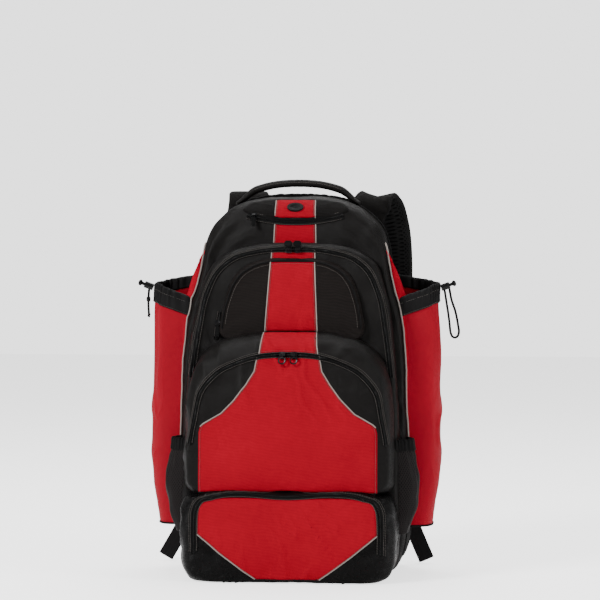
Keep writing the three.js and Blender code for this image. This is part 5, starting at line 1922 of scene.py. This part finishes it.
        def place(column: int, row: int) -> Vector:
            """Places one point of the pad's face."""
            u, v = 2 * column / columns - 1, 2 * row / rows - 1
            corner = (abs(u) ** 6 + abs(v) ** 26) ** (1 / 12)
            crown = max(0.0, 1 - max(abs(u) ** 5, abs(v) ** 18)) ** 0.5
            x = u * PAD_HALF_WIDTH * (1 - 0.06 * abs(v) ** 8)
            z = v * PAD_HALF_HEIGHT * (1 - 0.02 * abs(u) ** 4)
            channel = sum(math.exp(-(((z - at) / 0.004) ** 2)) for at in (-0.12, -0.06, 0.0, 0.06, 0.12))
            rise = PAD_RISE * crown * (1 - 0.4 * channel * min(1.0, 2 * (1 - abs(u))))
            rise *= min(1.0, 1.4 - 0.4 * corner)
            return middle + Vector((x, rise, z))

        bm = mapped(columns, rows, place, (2 * PAD_HALF_WIDTH, 2 * PAD_HALF_HEIGHT))
        edges = [edge for edge in bm.edges if edge.is_boundary]
        bmesh.ops.holes_fill(bm, edges=edges, sides=0)
        turn_faces(bm)
        piece = new_piece(f"raised_back_pad_{side}", bm)
        dress(piece, self.finishes.spacer, Slot.MESH, f"back_pad_{side}")

    def build(self) -> None:
        """Builds everything that carries the bag."""
        self.handle()
        self.back()
        for side, sign in SIDES.items():
            self.strap(side, sign)
            self.webbing(side, sign)


LOOP_ROUTE = [
    (-1, -7.3), (1, -20.2), (2.7, -31), (4.5, -42.2), (5.9, -52.5), (7, -62.2), (9, -75.2),
    (11.3, -79.7), (15, -81.2), (18.9, -79.6), (21, -75.2), (20, -60.2), (18.2, -50), (16, -40.2),
    (9.5, -20.2), (6.5, -4.6),
]
TAIL_LENGTH = 0.041
TAIL_STEPS = 15
BEAD_SHARE = 0.36
BEAD_RADIUS = 0.0034


@dataclass
class Drawcords:
    """The free ends of the hem cords, with the bead on the left one."""

    finishes: Finishes

    @staticmethod
    def tail(share: float) -> Vector:
        """Gives a point of the left cord by share of its length."""
        start = Vector((-LOCK_CENTRE.x, LOCK_CENTRE.y, LOCK_CENTRE.z - 0.0055 - 0.0012))
        return start + Vector((-0.001 * math.sin(share * math.pi), 0, -share * TAIL_LENGTH))

    def build(self) -> None:
        """Builds both cords."""
        loop = [LOCK_CENTRE + Vector((out * MM, 0, up * MM)) for out, up in LOOP_ROUTE]
        tail = [self.tail(k / (TAIL_STEPS - 1)) for k in range(TAIL_STEPS)]
        core = [self.tail(BEAD_SHARE) + Vector((0, 0, z * MM)) for z in (1.2, 0, -1.2)]
        bead = tube(core, BEAD_RADIUS, 16, cap=5)
        bead_piece = new_piece("cord_bead", bead)
        dress(bead_piece, self.finishes.plastic, Slot.PLASTIC, "cord_bead_left")
        knot = [
            self.tail(1)
            + Vector((math.cos(t * 5.2) * 0.0016, math.sin(t * 5.2) * 0.0016, 0.002 - 0.004 * t))
            for t in np.linspace(0, 1, 14)
        ]
        knot_piece = new_piece("cord_end_knot", tube(knot, 0.0012, 8))
        dress(knot_piece, self.finishes.braid, Slot.WEB)
        for side, route, end, pieces in (
            ("right", loop, "object", []),
            ("left", tail, "knot", [bead_piece, knot_piece]),
        ):
            line = [Vector(p) for p in through([list(p) for p in route], 60)]
            piece = new_piece(f"hem_cord_{side}", tube(line, CORD_RADIUS, 12, cap=2))
            dress(piece, self.finishes.braid, Slot.WEB, f"drawcord_{side}")
            length = line_length(line)


PORT_HEIGHT = 0.5761


@dataclass
class Hardware:
    """Sliders, pulls, the port, the adjusters and the cord locks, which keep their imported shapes."""

    finishes: Finishes

    def build(self) -> None:
        """Gives each hard node its finish."""
        looks = {
            self.finishes.metal: ["slider", "ring"],
            self.finishes.plastic: ["pull", "ladder_lock", "cord_lock"],
            self.finishes.rubber: ["audio_port"],
        }
        middle = Vector((0, TOP_FACE + TOP_SLOPE * (PORT_HEIGHT - TOP_BASE), PORT_HEIGHT))
        well = tube([middle + Vector((0, 0.002, 0)), middle + Vector((0, -0.0014, 0))], 0.004, 16)
        dress(new_piece("port_well", well), self.finishes.rubber, Slot.RUBBER)
        for name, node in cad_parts.items():
            for finish, words in looks.items():
                if any(word in name for word in words):
                    for index in range(len(node.data.materials)):
                        node.data.materials[index] = finish


@dataclass(frozen=True)
class Studio:
    """The floor, the soft lights and the camera, which sees the bag slightly from its right."""

    lens: float = 150
    sensor: float = 36
    target: Triple = (0.0105, 0.0, 0.4318)
    azimuth: float = 5.1
    elevation: float = 2.0
    distance: float = 3.928
    world_seen: float = 2.32
    world_lit: float = 0.42
    floor_seen: float = 1.7
    floor_lit: float = 0.25

    def camera(self) -> None:
        """Places the camera."""
        data = bpy.data.cameras.new("front_camera")
        data.lens = self.lens
        data.sensor_width = self.sensor
        camera = bpy.data.objects.new("front_camera", data)
        bpy.context.scene.collection.objects.link(camera)
        azimuth, elevation = math.radians(self.azimuth), math.radians(self.elevation)
        level = math.cos(elevation)
        away = Vector((math.sin(azimuth) * level, -math.cos(azimuth) * level, math.sin(elevation)))
        camera.location = Vector(self.target) + away * self.distance
        camera.rotation_euler = (-away).to_track_quat("-Z", "Y").to_euler()
        bpy.context.scene.camera = camera

    def light(self, name: str, place: Triple, aim: Triple, size: float, power: float) -> None:
        """Adds one soft square light.

        Args:
            name: The name of the light.
            place: Where it stands.
            aim: What it points at.
            size: Its side length.
            power: Its power in watts.
        """
        data = bpy.data.lights.new(name, "AREA")
        data.size = size
        data.energy = power
        lamp = bpy.data.objects.new(name, data)
        bpy.context.scene.collection.objects.link(lamp)
        lamp.location = Vector(place)
        lamp.rotation_euler = (Vector(aim) - Vector(place)).to_track_quat("-Z", "Y").to_euler()

    def build(self) -> None:
        """Builds the floor, the world and the lights."""
        bm = bmesh.new()
        bmesh.ops.create_grid(bm, x_segments=8, y_segments=8, size=6)
        floor = new_piece("pale_floor", bm)
        nodes = NodeBuilder("pale_floor")
        nodes.fill(nodes.shader, {
            "Base Color": nodes.mixed(nodes.cloud(2.0), (0.86, 0.86, 0.86), (0.9, 0.9, 0.9)),
            "Roughness": 0.9,
            "Emission Color": (1, 1, 1, 1),
            "Emission Strength": nodes.glow(self.floor_seen, self.floor_lit),
        })
        floor.data.materials.append(nodes.material)
        world = bpy.data.worlds.new("studio")
        world.use_nodes = True
        tree = world.node_tree
        background = tree.nodes["Background"]
        background.inputs["Color"].default_value = (1, 1, 1, 1)
        path = tree.nodes.new("ShaderNodeLightPath")
        strength = tree.nodes.new("ShaderNodeMath")
        strength.operation = "MULTIPLY_ADD"
        strength.inputs[1].default_value = self.world_seen - self.world_lit
        strength.inputs[2].default_value = self.world_lit
        tree.links.new(path.outputs["Is Camera Ray"], strength.inputs[0])
        tree.links.new(strength.outputs[0], background.inputs["Strength"])
        bpy.context.scene.world = world
        self.light("key", (-2.0, -1.9, 2.1), (0, 0, 0.35), 0.9, 125)
        self.light("fill", (2.5, -1.0, 1.2), (0, 0, 0.3), 0.9, 50)
        self.light("top", (0, 0.9, 2.6), (0, 0, 0.4), 1.6, 70)


def main() -> None:
    """Builds the bag and its surroundings in order."""
    logging.basicConfig(level=logging.INFO, format="%(message)s")
    studio = Studio()
    studio.camera()
    finishes = Finishes()
    Drawcords(finishes).build()
    layers = Layers()
    skins = layers.build(finishes)
    trim = Trim()
    for part in (RedPanels, Zips, SideGoods, CarryingGear):
        part(finishes, layers, skins, trim).build()
    Hardware(finishes).build()
    trim.build(finishes)
    studio.build()


if __name__ == "__main__":
    main()
